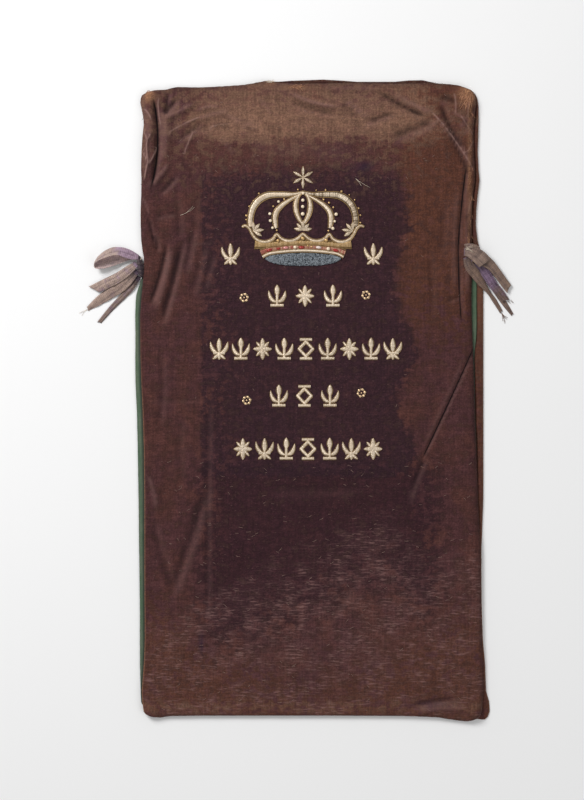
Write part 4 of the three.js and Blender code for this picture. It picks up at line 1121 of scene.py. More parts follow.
class MANTLE_OT_back_panel(Operator):
    """Lays the back velvet panel with its turned hem at the right."""

    bl_idname = "mantle.back_panel"
    bl_label = "Back Panel"

    def execute(self, context):
        def place(u, v):
            return place_on_cloth("back_left", "back_right", "back_bottom", "back_top", u, v)

        def faces(x, y):
            thick = blend(*BACK_HEM, ease(y, *SLIT_END))
            hem = ease(x, hem_start(y) - 0.4, hem_start(y) + 1.4) * ease(y, -398, -384)
            top = blend(BACK_SINGLE, thick, hem)
            side = inside(x, y, "back_left", "back_right")
            ends = np.minimum(
                read(ENDS, "x", "back_top", x) - y, y - read(ENDS, "x", "back_bottom", x),
            )
            round_over = rolled(np.minimum(side, ends) / BACK_SINGLE)
            return np.full_like(top, BACK_UNDER), blend(BACK_EDGE, top, round_over)

        bm, x, y = closed_sheet(BACK_COLUMNS, BACK_ROWS, place, faces)
        panel = finish_piece("velvet_back", bm, bpy.data.materials["Worn cotton velvet"], ["back_panel"])
        side = read(SIDES, "y", "back_right", y) - x
        give_marks(panel, {
            "faded": 0.14 + 0.2 * ease(y, 300, 380), "warm": 0.8 + 0 * x,
            "crushed": 0.5 * ease(-y, 150, 300),
            "rubbed": 0.3 * hump(side, 0, 1.4) + 0.16 * ease(y, 60, 130) * ease(-y, -196, -170),
            # Painted shade where the turned hem begins and along the top edge
            "trough": 0.6 * hump(x, hem_start(y), 1) + 0.6 * ease(y, 396, 404),
        })
        return {"FINISHED"}


# Lining
LINING_COLUMNS = grid_lines([(0.03, 8), (0.94, 30), (0.03, 8)])
LINING_ROWS = grid_lines([(1, 150)])


def green_lining():
    """Glazed cotton lining, plain woven and dulled by dust: a flat, faintly ribbed face."""
    lining = bpy.context.scene.mantle_lining
    material, tree, shader = start_material(
        "Glazed cotton lining", Roughness=0.7, Specular_IOR_Level=0.3,
    )
    dust = mottle(tree, 6, 40, detail=3)
    threads = mottle(tree, lining.weave, 12, 0.3, 0.7, shift=5.3)
    wefts = mottle(tree, 9, lining.weave, 0.3, 0.7, shift=9.1)
    colour = layered(tree, lining.green, [
        ((dust, 0.5), lining.grey),
        ((threads, 0.3), (0.03, 0.05, 0.03)),
        ((wefts, 0.2), (0.03, 0.05, 0.03)),
        ("shade", (0.02, 0.025, 0.02)),
    ])
    dress(tree, shader, colour, layered(tree, threads, [(0.5, wefts)]), 0.25)
    return material


class MANTLE_OT_lining(Operator):
    """Lays the green lining between the two panels."""

    bl_idname = "mantle.lining"
    bl_label = "Lining"

    def execute(self, context):
        thickness = context.scene.mantle_lining.thickness

        def place(u, v):
            return place_on_cloth("lining_left", "lining_right", *LINING_ENDS, u, v)

        def faces(x, y):
            over = read(SIDES, "y", "back_left", y) - x
            droop = 1.6 * ease(over, 0, 4)
            top = LINING_TOP - droop + 0.12 * ripple(x * 3, y * 3, 21)
            return top - thickness, top

        bm, x, y = closed_sheet(LINING_COLUMNS, LINING_ROWS, place, faces)
        sheet = finish_piece("lining", bm, green_lining(), ["back_lining"])
        covered = ease(inside(x, y, "front_left", "front_right"), -4, -0.6)
        right = blend(0.8, 0.15, ease(y, 50, 80))
        give_marks(sheet, {"shade": blend(0.85, right, ease(x, -10, 10)) * covered})
        return {"FINISHED"}


# Ribbon ties: points along in mm and across, depth of pleats and of crumples, and how
# far the cut end's notch or slant reaches back
RIBBON_STEP = 1.2
RIBBON_ACROSS = 15
PLEAT = 0.28
CRUMPLE = 1.5
CUT_REACH = 12
# Least height of a ribbon over the table
TABLE_GAP = 0.05
# Half the ribbon's width in its pattern, and the distance between a wave's bands at scale 1
PATTERN_HALF = 7
WAVE_PITCH = math.pi / 10


def silk_ribbon():
    """Silk ribbon, finely ribbed and limp: bleached to taupe outside, still lilac where
    folds have kept the light off."""
    ribbon = bpy.context.scene.mantle_ribbon
    material, tree, shader = start_material(
        "Faded silk ribbon", Roughness=0.55, Specular_IOR_Level=0.35,
        Sheen_Weight=0.15, Sheen_Roughness=0.4,
    )
    place = add(tree, "ShaderNodeUVMap", uv_map="lay").outputs["UV"]
    ribs = add(tree, "ShaderNodeTexWave", {
        "Vector": place, "Scale": WAVE_PITCH / ribbon.rib, "Distortion": 1.5, "Detail": 2,
    }, bands_direction="Y").outputs["Fac"]
    warp = add(tree, "ShaderNodeTexNoise", {
        "Vector": add(tree, "ShaderNodeMapping", {
            "Vector": place, "Scale": (1.4, 0.04, 1),
        }).outputs["Vector"], "Scale": 1.0, "Detail": 3,
    }).outputs["Fac"]
    patches = mottle(tree, 8, 9, detail=4)
    rumples = mottle(tree, 3.6, 3.6, 0.3, 0.7, detail=3, shift=4.9)
    # Dark lengthwise streaks that stand for the shade in fine creases of the ribbon
    crease_shade_streaks = add(tree, "ShaderNodeMapRange", {
        "Value": warp, "From Min": 0.32, "From Max": 0.98,
    }).outputs["Result"]
    lilac = ragged(tree, "lilac", patches, 0.5)
    colour = layered(tree, ribbon.outside, [
        ("brown", ribbon.brown),
        ((patches, 0.42), ribbon.brown),
        ((lilac, 0.85), ribbon.inside),
        # Pink with painted light on the loop's inner face, which lies in shade
        (("pink", 0.75), ribbon.pink),
        # Painted shade: dark streaks for fine creases along the ribbon, and darker dips of the rumples
        ((crease_shade_streaks, 0.9), ribbon.dark),
        ((rumples, 0.26), ribbon.dark),
        ((ribs, 0.22), ribbon.dark),
        # Painted shade in hollows, at the roots and in the knots' grooves, with each ribbon's own darkness
        ("dark", ribbon.dark),
    ])
    dress(tree, shader, colour, layered(tree, ribs, [(0.4, warp), (0.6, rumples)]), 0.7)
    return material


def ribbon_band(stations, look, seed):
    """Rings of points along a ribbon, pleated across and cut at its end, with their marks."""
    thickness = bpy.context.scene.mantle_ribbon.thickness
    draw = random.Random(seed)
    line = smooth_line(stations, RIBBON_STEP)
    centre, width, lean, crease = line[:, :3], line[:, 3], np.radians(line[:, 4]), line[:, 5]
    along = directions(centre)
    level = level_side(along)
    side = level * np.cos(lean)[:, None] + np.cross(along, level) * np.sin(lean)[:, None]
    normal = np.cross(side, along)
    across = np.linspace(-1, 1, RIBBON_ACROSS)
    length = lengths_along(centre)
    shift = draw.uniform(0, math.pi)
    phase = across[None, :] * math.pi * look.pleats + shift + length[:, None] / 37
    pleat = PLEAT * np.cos(phase) * ease(length, -1, 8)[:, None]
    arch = crease[:, None] * (1 - across[None, :] ** 2)
    crumple = ripple(length[:, None] * 5 + seed * 90, across[None, :] * 30, 50 + seed)
    offset = arch + pleat + CRUMPLE * crumple * ease(length, 0, 8)[:, None]
    # The cut end is notched or slanted
    reach = np.minimum(np.arange(len(line))[::-1] * RIBBON_STEP, CUT_REACH)[:, None]
    cut = look.notch * (1 - np.abs(across)) + abs(look.slant) * (1 - np.sign(look.slant) * across) / 2
    notch = width[-1] * cut[None, :] * (1 - reach / CUT_REACH)
    upper, lower = (
        centre[:, None] + side[:, None] * (across[None, :, None] * width[:, None, None] / 2)
        + normal[:, None] * (offset[:, :, None] + lift)
        - along[:, None] * notch[:, :, None]
        for lift in (thickness / 2, -thickness / 2)
    )
    # No fold of the ribbon dips under the table
    lower[..., 2] = np.maximum(lower[..., 2], TABLE_GAP)
    upper[..., 2] = np.maximum(upper[..., 2], TABLE_GAP + thickness)
    ring = np.concatenate([upper, lower[:, ::-1]], axis=1)
    # Painted shade in the hollows of the pleats and crumples
    hollow_shade = np.clip(-pleat / PLEAT, 0, 1) ** 4 + 1.3 * np.clip(-crumple * 2.2 - 0.2, 0, 1)
    hollow_shade = np.concatenate([hollow_shade, hollow_shade[:, ::-1]], axis=1)
    inner = np.concatenate([np.zeros_like(upper[:, :, 0]), np.ones_like(upper[:, :, 0])], axis=1)
    near_knot = 1 - ease(length, 0, 26)[:, None]
    kept = 0.8 * (1 - ease(length, look.reach * 0.6, look.reach))[:, None]
    marks = {
        "lilac": np.clip(look.lilac + 0.4 * inner + kept, 0, 0.9),
        # The ribbon's own darkness, with painted shade in its hollows and at its root by the knot
        "dark": np.clip(look.dark + 0.4 * hollow_shade + look.root * near_knot**2, 0, 0.95),
        "brown": np.full_like(inner, look.brown),
        "pink": look.pink * (0.25 + 0.75 * inner),
        "lay_across": PATTERN_HALF * np.concatenate([across, across[::-1]])[None, :] + 0 * inner,
        "lay_along": length[:, None] + 0 * inner,
    }
    return ring, marks


def lay_uv(bm):
    """Turns the marks of where a point lies on its ribbon into a UV map."""
    uv = bm.loops.layers.uv.new("lay")
    across = bm.verts.layers.float["lay_across"]
    along = bm.verts.layers.float["lay_along"]
    for face in bm.faces:
        for loop in face.loops:
            loop[uv].uv = (loop.vert[across], loop.vert[along])


def knot_band(knot):
    """A knot: ribbon wound round itself into a ridged bundle."""
    steps, around = 40, 20
    turn = math.radians(knot.turn)
    share = np.linspace(0.02, 0.98, steps)
    angle = np.linspace(0, 2 * math.pi, around, endpoint=False)
    wind = share[:, None] * knot.wraps * 2 * math.pi + angle[None, :]
    ridge = 1 - 0.16 * (1 - np.abs(np.cos(wind / 2)) ** 0.6) - 0.05 * np.cos(3 * angle)[None, :]
    radius = np.sqrt(np.sin(share * math.pi))[:, None] * ridge
    long = (2 * share - 1)[:, None] * knot.half[0] + 0 * radius
    wide = radius * np.cos(angle)[None, :] * knot.half[1]
    high = radius * np.sin(angle)[None, :] * knot.half[2]
    ring = np.stack([
        knot.centre[0] + long * math.cos(turn) - wide * math.sin(turn),
        knot.centre[1] + long * math.sin(turn) + wide * math.cos(turn),
        knot.centre[2] + high,
    ], axis=2)
    # Painted shade in the grooves between the wound turns
    groove = np.clip((1 - ridge) / 0.2, 0, 1)
    return ring, {
        "lilac": 0.5 * (1 - knot.brown) + 0 * groove, "brown": knot.brown + 0 * groove,
        "pink": 0 * groove,
        "dark": np.clip(knot.dark + 0.3 * groove, 0, 1),
        "lay_across": wind * 2, "lay_along": long,
    }


class MANTLE_OT_ties(Operator):
    """Lays the two ribbon ties with their knots."""

    bl_idname = "mantle.ties"
    bl_label = "Ties"

    def execute(self, context):
        silk = silk_ribbon()
        for seed, (name, stations) in enumerate(RIBBONS.items()):
            bm = bmesh.new()
            ring, marks = ribbon_band(stations, TAILS[name], seed)
            add_band(bm, ring, marks)
            weld(bm)
            lay_uv(bm)
            nodes = [name] if name != "tie_right_cap" else []
            tail = finish_piece(f"{name}_silk", bm, silk, nodes)
        for name, knot in KNOTS.items():
            bm = bmesh.new()
            add_band(bm, *knot_band(knot))
            weld(bm)
            lay_uv(bm)
            finish_piece(f"{name}_silk", bm, silk, [name])
        return {"FINISHED"}


# Embroidery: points across a padded stroke and along each laid thread, how far a thread
# sinks between crests, and how dark the cords are
DOME_POINTS = 7
THREAD_POINTS = 3
THREAD_SINK = 0.34
CORD_TARNISH = 0.25
# Chips of purl on the crown's underside, added a block at a time, and its pad's rise
CHIPS = {"count": 2400, "block": 60, "radius": 0.4, "reach": 48}
PAD_RISE = 1.1
# A rosette's outer sequins: how far they lie from its middle, their turn in radians and
# their radius, and how far out the short cords between them lie
SEQUINS = {"count": 6, "reach": 4.5, "turn": 0.2, "radius": 1.7, "cord": (3.4, 4.6, 5.8)}


def laid_thread():
    """Metal thread, a flat silver-gilt strip wound on silk and laid side by side: it
    glints in short lengths, and has darkened where it was handled."""
    thread = bpy.context.scene.mantle_thread
    material, tree, shader = start_material(
        "Laid silver-gilt thread", Roughness=0.36, Metallic=0.45, Specular_IOR_Level=0.5,
    )
    patches = mottle(tree, 14, 14, detail=3)
    colour = layered(tree, thread.silver, [
        ("gilt", thread.gold),
        ((patches, 0.16), thread.gold),
        ("tarnish", thread.tarnish),
        ("red", thread.red),
        # Painted shade between the threads, along the strokes' edges, in their sunk middle lines and in
        # the cords' twists
        (("gap", 0.8), (0.03, 0.018, 0.014)),
    ])
    dress(tree, shader, colour, mottle(tree, 0.9, 0.9, 0.2, 0.8, shift=3.3), 0.12)
    return material


def stitched_stroke(bm, rows, draw, rise_share=1.0, gilt=0.0, tarnish=0.1, red=0.0, split=0.0):
    """Laid threads across a padded stroke given by rows of x, y and width."""
    thread = bpy.context.scene.mantle_thread
    line = smooth_line(rows, thread.pitch / THREAD_POINTS)
    centre, width = line[:, :2], np.maximum(line[:, 2], 0.15)
    along = directions(centre)
    side = flat_side(along)
    number = np.arange(len(line)) // THREAD_POINTS
    crest = np.array([0.0, 1.0, 0.8])[np.arange(len(line)) % THREAD_POINTS]
    tone = np.array([draw.random() for _ in range(number[-1] + 1)])[number]
    wobble = np.array([draw.uniform(-0.22, 0.22) for _ in range(number[-1] + 1)])[number]
    across = np.linspace(-1, 1, DOME_POINTS)
    dome = (1 - np.abs(across) ** 4) ** 0.6
    rise = thread.rise * rise_share * np.minimum(width / 4.5, 1) ** 0.6
    half = width / 2 * (1 - 0.06 * (1 - crest)) + wobble * np.minimum(width / 4, 1)
    height = dome[None, :] * (rise - THREAD_SINK * (1 - crest) + 0.12 * (tone - 0.5))[:, None]
    # Two halves that meet in a sunk middle line
    height -= split * 0.5 * hump(across, 0, 0.22)[None, :]
    flat_place = centre[:, None] + side[:, None] * (across[None, :, None] * half[:, None, None])
    ring = np.concatenate([
        flat_place, (EMBROIDERY_UNDER + np.maximum(height, 0))[:, :, None],
    ], axis=2)
    # Painted shade: the valleys between threads, the stroke's edges and its sunk middle line darken
    # through the gap mark
    edge = np.abs(across)[None, :] ** 4
    middle = split * hump(across, 0, 0.15)[None, :]
    # Painted shade on one half of a split stroke, carried with the tarnish
    shaded = split * 0.3 * (across > 0)[None, :]
    add_band(bm, ring, {
        "gap": np.clip(0.5 * (1 - crest)[:, None] + 0.5 * edge + 0.5 * middle, 0, 1),
        "gilt": np.clip(gilt + 0.22 * tone[:, None] + 0.2 * edge, 0, 1),
        "tarnish": np.clip(tarnish * 2 * tone[:, None] + shaded + 0 * edge, 0, 1),
        "red": red * (0.5 + 0.5 * tone[:, None]) + 0 * edge,
    })


def couched_cord(bm, points, radius, gilt=0.7):
    """A twisted cord along points, caught down beside the stroke it edges."""
    points = np.asarray(points, float)
    along = directions(points)
    side = level_side(along)
    up = np.cross(side, along)
    length = lengths_along(points)
    angle = np.linspace(0, 2 * math.pi, 6, endpoint=False)
    twist = np.cos(2 * angle[None, :] + 2 * math.pi * length[:, None] / (4.2 * radius))
    reach = radius * (1 + 0.2 * twist)
    ring = (
        points[:, None]
        + side[:, None] * (reach * np.cos(angle)[None, :])[:, :, None]
        + up[:, None] * (reach * np.sin(angle)[None, :])[:, :, None]
    )
    # Painted shade in the grooves of the twist
    add_band(bm, ring, {
        "gap": np.clip(0.1 - 0.75 * twist, 0, 1), "gilt": gilt + 0 * twist,
        "tarnish": CORD_TARNISH + 0 * twist, "red": 0 * twist,
    })


def edge_cords(bm, rows, radius, gilt):
    """Cords along both edges of a stroke."""
    line = smooth_line(rows, 1.0)
    along = directions(line[:, :2])
    side = flat_side(along)
    for way in (1, -1):
        place = line[:, :2] + side * (way * (line[:, 2:3] / 2 + radius * 0.5))
        height = np.full((len(place), 1), EMBROIDERY_UNDER + radius * 0.9)
        couched_cord(bm, np.concatenate([place, height], axis=1), radius, gilt)


def whole(rows):
    """Rows of a left half, followed by their mirror image."""
    return [*rows, *((-row[0], *row[1:]) for row in reversed(rows[:-1]))]


def moved(rows, x, y, mirror=False):
    """Rows of x, y and width moved to a place, mirrored first if asked."""
    way = -1 if mirror else 1
    return [(way * row[0] + x, row[1] + y, *row[2:]) for row in rows]


def formed(stroke, mirror=False):
    """Rows of x, y and width along a stroke of a figure."""
    rows = []
    way = -1 if mirror else 1
    for at, share in FORMS[stroke.form]:
        rows.append((way * bent(stroke, at, 0), bent(stroke, at, 1), stroke.width * share))
    return rows


def lobe_rows(angle, length, width):
    """Rows of a leaf lobe that leaves its root at an angle in degrees."""
    turn = math.radians(angle)
    return [
        (math.cos(turn) * length * (at - LOBE["root"]), math.sin(turn) * length * (at - LOBE["root"]),
         width * share)
        for at, share in FORMS["petal"]
    ]


def scatter_beads(bm, beads, height, flatten=0.75, rings=6, segments=10):
    """Round beads at places given by x, y and radius."""
    for x, y, radius in beads:
        bead = bmesh.ops.create_uvsphere(bm, u_segments=segments, v_segments=rings, radius=radius)
        bmesh.ops.scale(bm, vec=(1, 1, flatten), verts=bead["verts"])
        bmesh.ops.translate(bm, vec=(x, y, height + radius * flatten), verts=bead["verts"])


class MANTLE_OT_crown(Operator):
    """Works the crown: padded arches, circlet, star and leaves."""

    bl_idname = "mantle.crown"
    bl_label = "Crown"

    def execute(self, context):
        silver = laid_thread()
        draw = random.Random(5)
        cord = context.scene.mantle_thread.cord

        bm = bmesh.new()
        for name, rows in CROWN_ARCHES.items():
            for mirror in (False, True):
                placed = moved(rows, *CROWN, mirror)
                worn = 0.45 if (name == "outer" and mirror) else 0.06
                stitched_stroke(bm, placed, draw, 1.0 if name == "outer" else 0.85, 0.05, worn)
                edge_cords(bm, placed, cord, gilt=0.95)
        weld(bm)
        finish_piece("crown_arches_stitched", bm, silver, ["crown_arches"])

        bm = bmesh.new()
        # Rise, gilt, tarnish and red of each stroke
        looks = {
            "scallops": (0.8, 0.2, 0.1, 0), "gold_band": (0.7, 0.8, 0.2, 0),
            "jewel_band": (0.5, 0.5, 0.3, 0.85), "cord_rim": (1.1, 0, 0, 0),
        }
        for name, rows in CIRCLET.items():
            placed = moved(whole(rows), *CROWN)
            stitched_stroke(bm, placed, draw, *looks[name])
            edge_cords(bm, placed, cord * 0.9, gilt=0.95)
        weld(bm)
        finish_piece("crown_circlet_stitched", bm, silver, ["crown_circlet"])

        bm = bmesh.new()
        for k in range(STAR["petals"]):
            lobe = lobe_rows(90 + k * 360 / STAR["petals"], STAR["length"], STAR["width"])
            placed = moved(lobe, CROWN[0], CROWN[1] + STAR["y"])
            stitched_stroke(bm, placed, draw, 1.0, 0, 0.05, split=0.9)
            edge_cords(bm, placed, cord * 0.35, gilt=1)
        weld(bm)
        finish_piece("crown_star_stitched", bm, silver, ["crown_star"])

        for name, cluster in LEAF_CLUSTERS.items():
            bm = bmesh.new()
            for i, lobe in enumerate(cluster.lobes):
                long = cluster.long * (1 if i == 0 else LOBE["side_share"])
                rows = lobe_rows(cluster.turn + lobe, long, LOBE["width"])
                placed = moved(rows, CROWN[0] + cluster.x, CROWN[1] + cluster.y)
                stitched_stroke(bm, placed, draw, 1.1, 0.1, 0.05, split=0.6)
                edge_cords(bm, placed, cord * 0.35, gilt=1)
            weld(bm)
            finish_piece(f"{name}_stitched", bm, silver, [name])
        return {"FINISHED"}


def purl_glass(name, tone, roughness, metallic, marked=None):
    """Small bright pieces sewn on, each with its own shade."""
    material, tree, shader = start_material(name, Roughness=roughness, Metallic=metallic)
    shade = mottle(tree, 2.2, 2.2, 0.3, 0.7, detail=1)
    layers = [marked] if marked else []
    dress(tree, shader, layered(tree, tone, [*layers, ((shade, 0.22), (0.02, 0.015, 0.015))]))
    return material


class MANTLE_OT_beads(Operator):
    """Sews on the crown's underside of cut purl, its beads and its faceted glass."""

    bl_idname = "mantle.beads"
    bl_label = "Beads"

    def execute(self, context):
        thread = context.scene.mantle_thread
        draw = random.Random(9)

        # The underside: short chips of steel purl, scattered close on a low pad
        bm = bmesh.new()
        line = smooth_line(whole(UNDERSIDE), 2.0)
        across = np.linspace(0, 1, 9)
        y = line[:, 2:3] + (line[:, 1:2] - line[:, 2:3]) * across[None, :]
        x = line[:, :1] + 0 * y
        dome = PAD_RISE * np.sqrt(np.clip(1 - (2 * across - 1) ** 2, 0, 1))
        z = EMBROIDERY_UNDER + dome[None, :] + 0 * y
        pad = np.stack([x + CROWN[0], y + CROWN[1], z], axis=2)
        add_band(bm, pad, {"tone": 0 * x})
        weld(bm)
        for number in range(CHIPS["count"]):
            if number % CHIPS["block"] == 0:
                block = bmesh.new()
                tone = block.verts.layers.float.new("tone")
            px = draw.uniform(-CHIPS["reach"], CHIPS["reach"])
            low, high = (np.interp(px, line[:, 0], line[:, i]) for i in (2, 1))
            share = draw.uniform(0.04, 0.96)
            py = low + (high - low) * share
            chip = bmesh.ops.create_cone(
                block, cap_ends=True, segments=5, radius1=CHIPS["radius"], radius2=CHIPS["radius"],
                depth=draw.uniform(0.8, 1.4),
            )["verts"]
            turn = Matrix.Rotation(draw.uniform(0, math.pi), 3, "Z")
            lean = Matrix.Rotation(math.radians(draw.uniform(70, 90)), 3, "X")
            bmesh.ops.rotate(block, matrix=turn @ lean, verts=chip)
            dome = PAD_RISE * math.sqrt(max(0, 1 - (2 * share - 1) ** 2))
            lift = EMBROIDERY_UNDER + dome + 0.35
            bmesh.ops.translate(block, vec=(px + CROWN[0], py + CROWN[1], lift), verts=chip)
            shade = draw.random() ** 0.8
            for vert in chip:
                vert[tone] = shade
            if number % CHIPS["block"] == CHIPS["block"] - 1:
                absorb(bm, block)
        steel = purl_glass("Blue steel purl", linear("#2b343e"), 0.35, 0.3, ("tone", thread.steel))
        finish_piece("crown_underside_purl", bm, steel, ["crown_underside"])

        bm = bmesh.new()
        scatter_beads(bm, moved(PEARLS, *CROWN), EMBROIDERY_UNDER + 0.6, segments=14, rings=8)
        pearl = purl_glass("Glass pearl", thread.pearl, 0.25, 0.0)
        finish_piece("crown_pearls", bm, pearl, ())

        bm = bmesh.new()
        scatter_beads(bm, moved(GOLD_BEADS, *CROWN), EMBROIDERY_UNDER + 0.2)
        gilt = purl_glass("Gilt bead", linear("#dcb67c"), 0.3, 0.6)
        finish_piece("crown_gold_beads", bm, gilt, ())

        tones = {"red": linear("#a8322f"), "rose": linear("#d58c86"), "pale": linear("#f3ded6")}
        for glass, tone in tones.items():
            bm = bmesh.new()
            for jewel in [j for j in JEWELS if j.glass == glass]:
                cut = bmesh.ops.create_cone(
                    bm, cap_ends=True, segments=8, radius1=0.5, radius2=0.3, depth=1,
                )["verts"]
                bmesh.ops.scale(bm, vec=(jewel.long, jewel.wide, 1.6), verts=cut)
                turn = Matrix.Rotation(math.radians(jewel.turn), 3, "Z")
                bmesh.ops.rotate(bm, matrix=turn, verts=cut)
                place = (jewel.x + CROWN[0], jewel.y + CROWN[1], EMBROIDERY_UNDER + 1.7)
                bmesh.ops.translate(bm, vec=place, verts=cut)
            material = purl_glass(f"Faceted {glass} glass", tone, 0.12, 0.0)
            finish_piece(f"crown_jewels_{glass}", bm, material, ())
        return {"FINISHED"}


class MANTLE_OT_figures(Operator):
    """Works the rows of padded figures."""

    bl_idname = "mantle.figures"
    bl_label = "Figures"

    def execute(self, context):
        thread = context.scene.mantle_thread
        silver = bpy.data.materials["Laid silver-gilt thread"]
        draw = random.Random(17)
        for r, row in enumerate(FIGURE_ROWS):
            for i, kind in enumerate(row.kinds):
                x = row.x + (i - (len(row.kinds) - 1) / 2) * row.pitch
                bm = bmesh.new()
                worn = draw.uniform(0.0, 0.14)
                for stroke in FIGURES[kind]:
                    single = abs(stroke.start[0] + stroke.end[0]) <= MIDDLE_TOLERANCE
                    for mirror in (False,) if single else (False, True):
                        placed = moved(formed(stroke, mirror), x, row.y)
                        stitched_stroke(bm, placed, draw, 0.62, 0.0, worn)
                        edge_cords(bm, placed, thread.cord * 0.5, gilt=0.9)
                weld(bm)
                name = f"figure_{r}_{i + 1}_{kind}"
                finish_piece(f"{name}_stitched", bm, silver, [name])
        return {"FINISHED"}


class MANTLE_OT_rosettes(Operator):
    """Sews on the four rosettes of sequins."""

    bl_idname = "mantle.rosettes"
    bl_label = "Rosettes"

    def execute(self, context):
        gilt = purl_glass("Gilt sequin", linear("#f0cfa4"), 0.3, 0.45)
        draw = random.Random(23)
        for number, (x, y) in enumerate(ROSETTES, 1):
            bm = bmesh.new()
            step = 2 * math.pi / SEQUINS["count"]
            turns = [k * step + SEQUINS["turn"] for k in range(SEQUINS["count"])]
            places = [(0, 0, 1.1)] + [
                (SEQUINS["reach"] * math.cos(turn), SEQUINS["reach"] * math.sin(turn), SEQUINS["radius"])
                for turn in turns
            ]
            for px, py, radius in places:
                lift = EMBROIDERY_UNDER + draw.uniform(0.2, 0.5)
                disc = bmesh.ops.create_cone(
                    bm, cap_ends=True, segments=12, radius1=radius, radius2=radius * 0.8, depth=0.5,
                )["verts"]
                tilt = Matrix.Rotation(draw.uniform(-0.2, 0.2), 3, "X")
                bmesh.ops.rotate(bm, matrix=tilt, verts=disc)
                bmesh.ops.translate(bm, vec=(x + px, y + py, lift + 0.4), verts=disc)
                scatter_beads(bm, [(x + px, y + py, 0.6)], lift + 0.5, 0.7, 4, 6)
            # A short cord lies between each two outer sequins
            for turn in turns:
                ways = (math.cos(turn + step / 2), math.sin(turn + step / 2))
                ends = [
                    (x + reach * ways[0], y + reach * ways[1], EMBROIDERY_UNDER + 0.3)
                    for reach in SEQUINS["cord"]
                ]
                couched_cord(bm, ends, 0.25)
            name = f"rosette_{number}"
            finish_piece(f"{name}_sequins", bm, gilt, [name])
        return {"FINISHED"}


def cotton_thread(name, tone):
    """Loose cotton thread, fine, dull and fuzzy."""
    material, tree, shader = start_material(name, Roughness=0.9)
    shade = mottle(tree, 3, 3, 0.3, 0.7)
    dress(tree, shader, layered(tree, tone, [((shade, 0.4), (0.05, 0.03, 0.02))]))
    return material


def loose_threads(bm, tuft, draw):
    """Threads that hang or stick out round a place."""
    for _ in range(tuft.count):
        x, y = (tuft.place[i] + draw.uniform(-1, 1) * tuft.scatter[i] for i in (0, 1))
        heading = math.radians(tuft.heading + draw.uniform(-1, 1) * tuft.spread)
        curl = draw.uniform(-0.22, 0.22)
        step = tuft.length * draw.uniform(0.6, 1.2) / 5
        points = []
        for _ in range(6):
            points.append((x, y))
            x += step * math.cos(heading)
            y += step * math.sin(heading)
            heading += curl
            curl *= draw.uniform(0.5, 1.2)
        flat = np.array(points)
        on_cloth = front_height(flat[:, 0], flat[:, 1]) + 0.3
        off_cloth = (flat[:, 1] > read(ENDS, "x", "front_top", flat[:, 0])) | (
            flat[:, 0] > read(SIDES, "y", "front_right", flat[:, 1])) | (
            flat[:, 0] < read(SIDES, "y", "front_left", flat[:, 1]))
        height = np.where(off_cloth, tuft.height, np.maximum(on_cloth, tuft.height))
        couched_cord(bm, np.column_stack([flat, height]), tuft.radius * draw.uniform(0.7, 1.1))


# Loose threads: tone, place and how far they scatter about it, heading and its spread in
# degrees, length, count, radius and least height
Tuft = namedtuple("Tuft", "tone place scatter heading spread length count radius height")
TUFTS = (
    Tuft("pale", (-53, 410.5), (3, 0.6), 90, 75, 4.5, 16, 0.22, 4),
    Tuft("orange", (-22, 404.5), (8, 1.5), 0, 40, 6, 16, 0.35, 5),
    Tuft("brown", (158, 408.5), (12, 1), 65, 60, 1.8, 16, 0.3, 4),
    Tuft("orange", (202, 392), (8, 9), -100, 26, 9, 34, 0.34, 5),
    Tuft("orange", (206, 300), (3, 96), -90, 34, 5, 30, 0.26, 5),
    Tuft("orange", (-211, 393), (5, 4), 50, 50, 5, 14, 0.34, 5),
    Tuft("brown", (-216, 330), (2, 60), -80, 40, 5, 14, 0.25, 5),
    Tuft("pale", (-218, 180), (1, 6), -160, 40, 5, 8, 0.2, 9),
    Tuft("pale", (-289, 117.5), (0.5, 0.5), 205, 8, 12, 2, 0.22, 0.8),
    Tuft("brown", (247, 113), (1, 1), -62, 10, 13, 5, 0.3, 0.8),
    Tuft("brown", (257, 129), (3, 3), -50, 25, 4, 6, 0.2, 1.5),
    Tuft("pale", (200, 196), (3.4, 2), -15, 22, 8, 10, 0.22, 16.6),
    Tuft("orange", (203, 214), (1.6, 12), -88, 12, 16, 7, 0.3, 8),
    Tuft("pale", (58, 286), (0.4, 0.4), -40, 5, 18, 2, 0.22, 7.6),
    Tuft("pale", (-168, 239), (1, 1), 22, 6, 18, 2, 0.18, 6),
    Tuft("lint", (0, -240), (205, 160), 0, 40, 5, 190, 0.2, 6),
    Tuft("lint", (0, 340), (195, 55), 0, 60, 4, 70, 0.18, 6),
    Tuft("lint", (0, 130), (205, 150), 0, 90, 3.6, 50, 0.16, 6),
)


class MANTLE_OT_threads(Operator):
    """Leaves the frayed edges, the loose stitches and the lint."""

    bl_idname = "mantle.threads"
    bl_label = "Loose Threads"

    def execute(self, context):
        tones = {"pale": "#d8c8b4", "orange": "#ab7a5c", "brown": "#6f5040", "lint": "#94766c"}
        for number, (name, code) in enumerate(tones.items()):
            draw = random.Random(41 + number)
            bm = bmesh.new()
            for tuft in [t for t in TUFTS if t.tone == name]:
                part = bmesh.new()
                loose_threads(part, tuft, draw)
                weld(part)
                absorb(bm, part)
            material = cotton_thread(f"Cotton thread, {name}", linear(code))
            finish_piece(f"threads_{name}", bm, material)
        return {"FINISHED"}


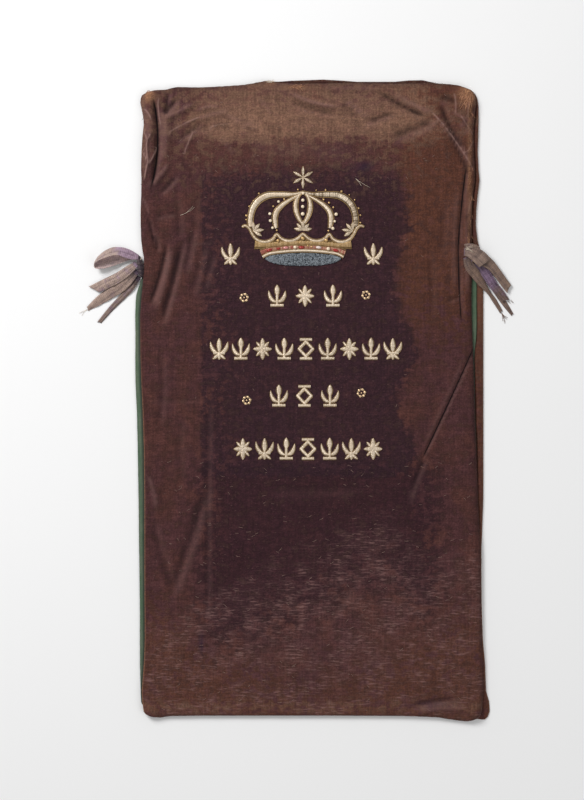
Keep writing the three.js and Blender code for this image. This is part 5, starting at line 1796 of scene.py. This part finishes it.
class MANTLE_OT_stage(Operator):
    """Sets the pale table, the soft studio light and the camera."""

    bl_idname = "mantle.stage"
    bl_label = "Stage"

    def execute(self, context):
        stage = context.scene.mantle_stage
        bm = bmesh.new()
        bmesh.ops.create_grid(bm, x_segments=1, y_segments=1, size=TABLE_HALF)
        mesh = bpy.data.meshes.new("table")
        bm.to_mesh(mesh)
        bm.free()
        # A matt lacquered top, so that it takes soft shadows and no glints
        material = start_material(
            "Matt white table", Roughness=0.9, Base_Color=(*stage.table, 1),
        )[0]
        mesh.materials.append(material)
        table = bpy.data.objects.new("table", mesh)
        context.scene.collection.objects.link(table)

        world = bpy.data.worlds.new("Studio")
        world.use_nodes = True
        sky = world.node_tree.nodes["Background"]
        sky.inputs["Color"].default_value = (1, 1, 1, 1)
        sky.inputs["Strength"].default_value = ALL_ROUND
        context.scene.world = world
        context.scene.view_settings.view_transform = "Standard"

        for name, (place, size, power) in LAMPS.items():
            lamp = bpy.data.lights.new(name, "AREA")
            lamp.size = size
            lamp.energy = power
            light = bpy.data.objects.new(name, lamp)
            light.location = place
            light.rotation_euler = (-Vector(place)).to_track_quat("-Z", "Y").to_euler()
            context.scene.collection.objects.link(light)

        view = bpy.data.cameras.new("camera")
        view.lens = stage.lens
        view.sensor_width = 36
        camera = bpy.data.objects.new("camera", view)
        top = FIELD_TOP * MM
        middle = TO_FRAME @ Vector((*VIEW_MIDDLE, 0))
        camera.location = (middle.x, middle.y, stage.camera_height + top)
        context.scene.collection.objects.link(camera)
        context.scene.camera = camera
        return {"FINISHED"}


class MANTLE_OT_declare(Operator):
    """Gathers the worked pieces of thread, beads and glass by name, and does nothing more."""

    bl_idname = "mantle.declare"
    bl_label = "Declare Cloth"

    def execute(self, context):
        objects = bpy.data.objects
        worked = [o for o in objects if o.name.endswith(("_stitched", "_sequins", "_purl"))]
        worked += [o for o in objects if o.name.startswith(("crown_pearls", "crown_gold", "crown_jewels"))]
        return {"FINISHED"}


STEPS = (
    MANTLE_OT_stage, MANTLE_OT_front_panel, MANTLE_OT_back_panel, MANTLE_OT_lining,
    MANTLE_OT_ties, MANTLE_OT_crown, MANTLE_OT_beads, MANTLE_OT_figures,
    MANTLE_OT_rosettes, MANTLE_OT_threads, MANTLE_OT_declare,
)


class MANTLE_PT_panel(Panel):
    """Lists the settings and the steps that build the mantle."""

    bl_idname = "MANTLE_PT_panel"
    bl_label = "Torah Mantle"
    bl_space_type = "VIEW_3D"
    bl_region_type = "UI"
    bl_category = "Mantle"

    def draw(self, context):
        for name, group in SETTINGS.items():
            box = self.layout.box()
            for setting in group.__annotations__:
                box.prop(getattr(context.scene, name), setting)
        for step in STEPS:
            self.layout.operator(step.bl_idname)


CLASSES = (*SETTINGS.values(), *STEPS, MANTLE_PT_panel)


def register():
    """Registers the settings, the steps and the panel."""
    for cls in CLASSES:
        bpy.utils.register_class(cls)
    for name, group in SETTINGS.items():
        setattr(bpy.types.Scene, name, PointerProperty(type=group))


def unregister():
    """Takes back what register added."""
    for name in SETTINGS:
        delattr(bpy.types.Scene, name)
    for cls in reversed(CLASSES):
        bpy.utils.unregister_class(cls)


def main():
    """Builds every piece in order."""
    register()
    for step in STEPS:
        group, name = step.bl_idname.split(".")
        getattr(getattr(bpy.ops, group), name)()


if __name__ == "__main__":
    main()
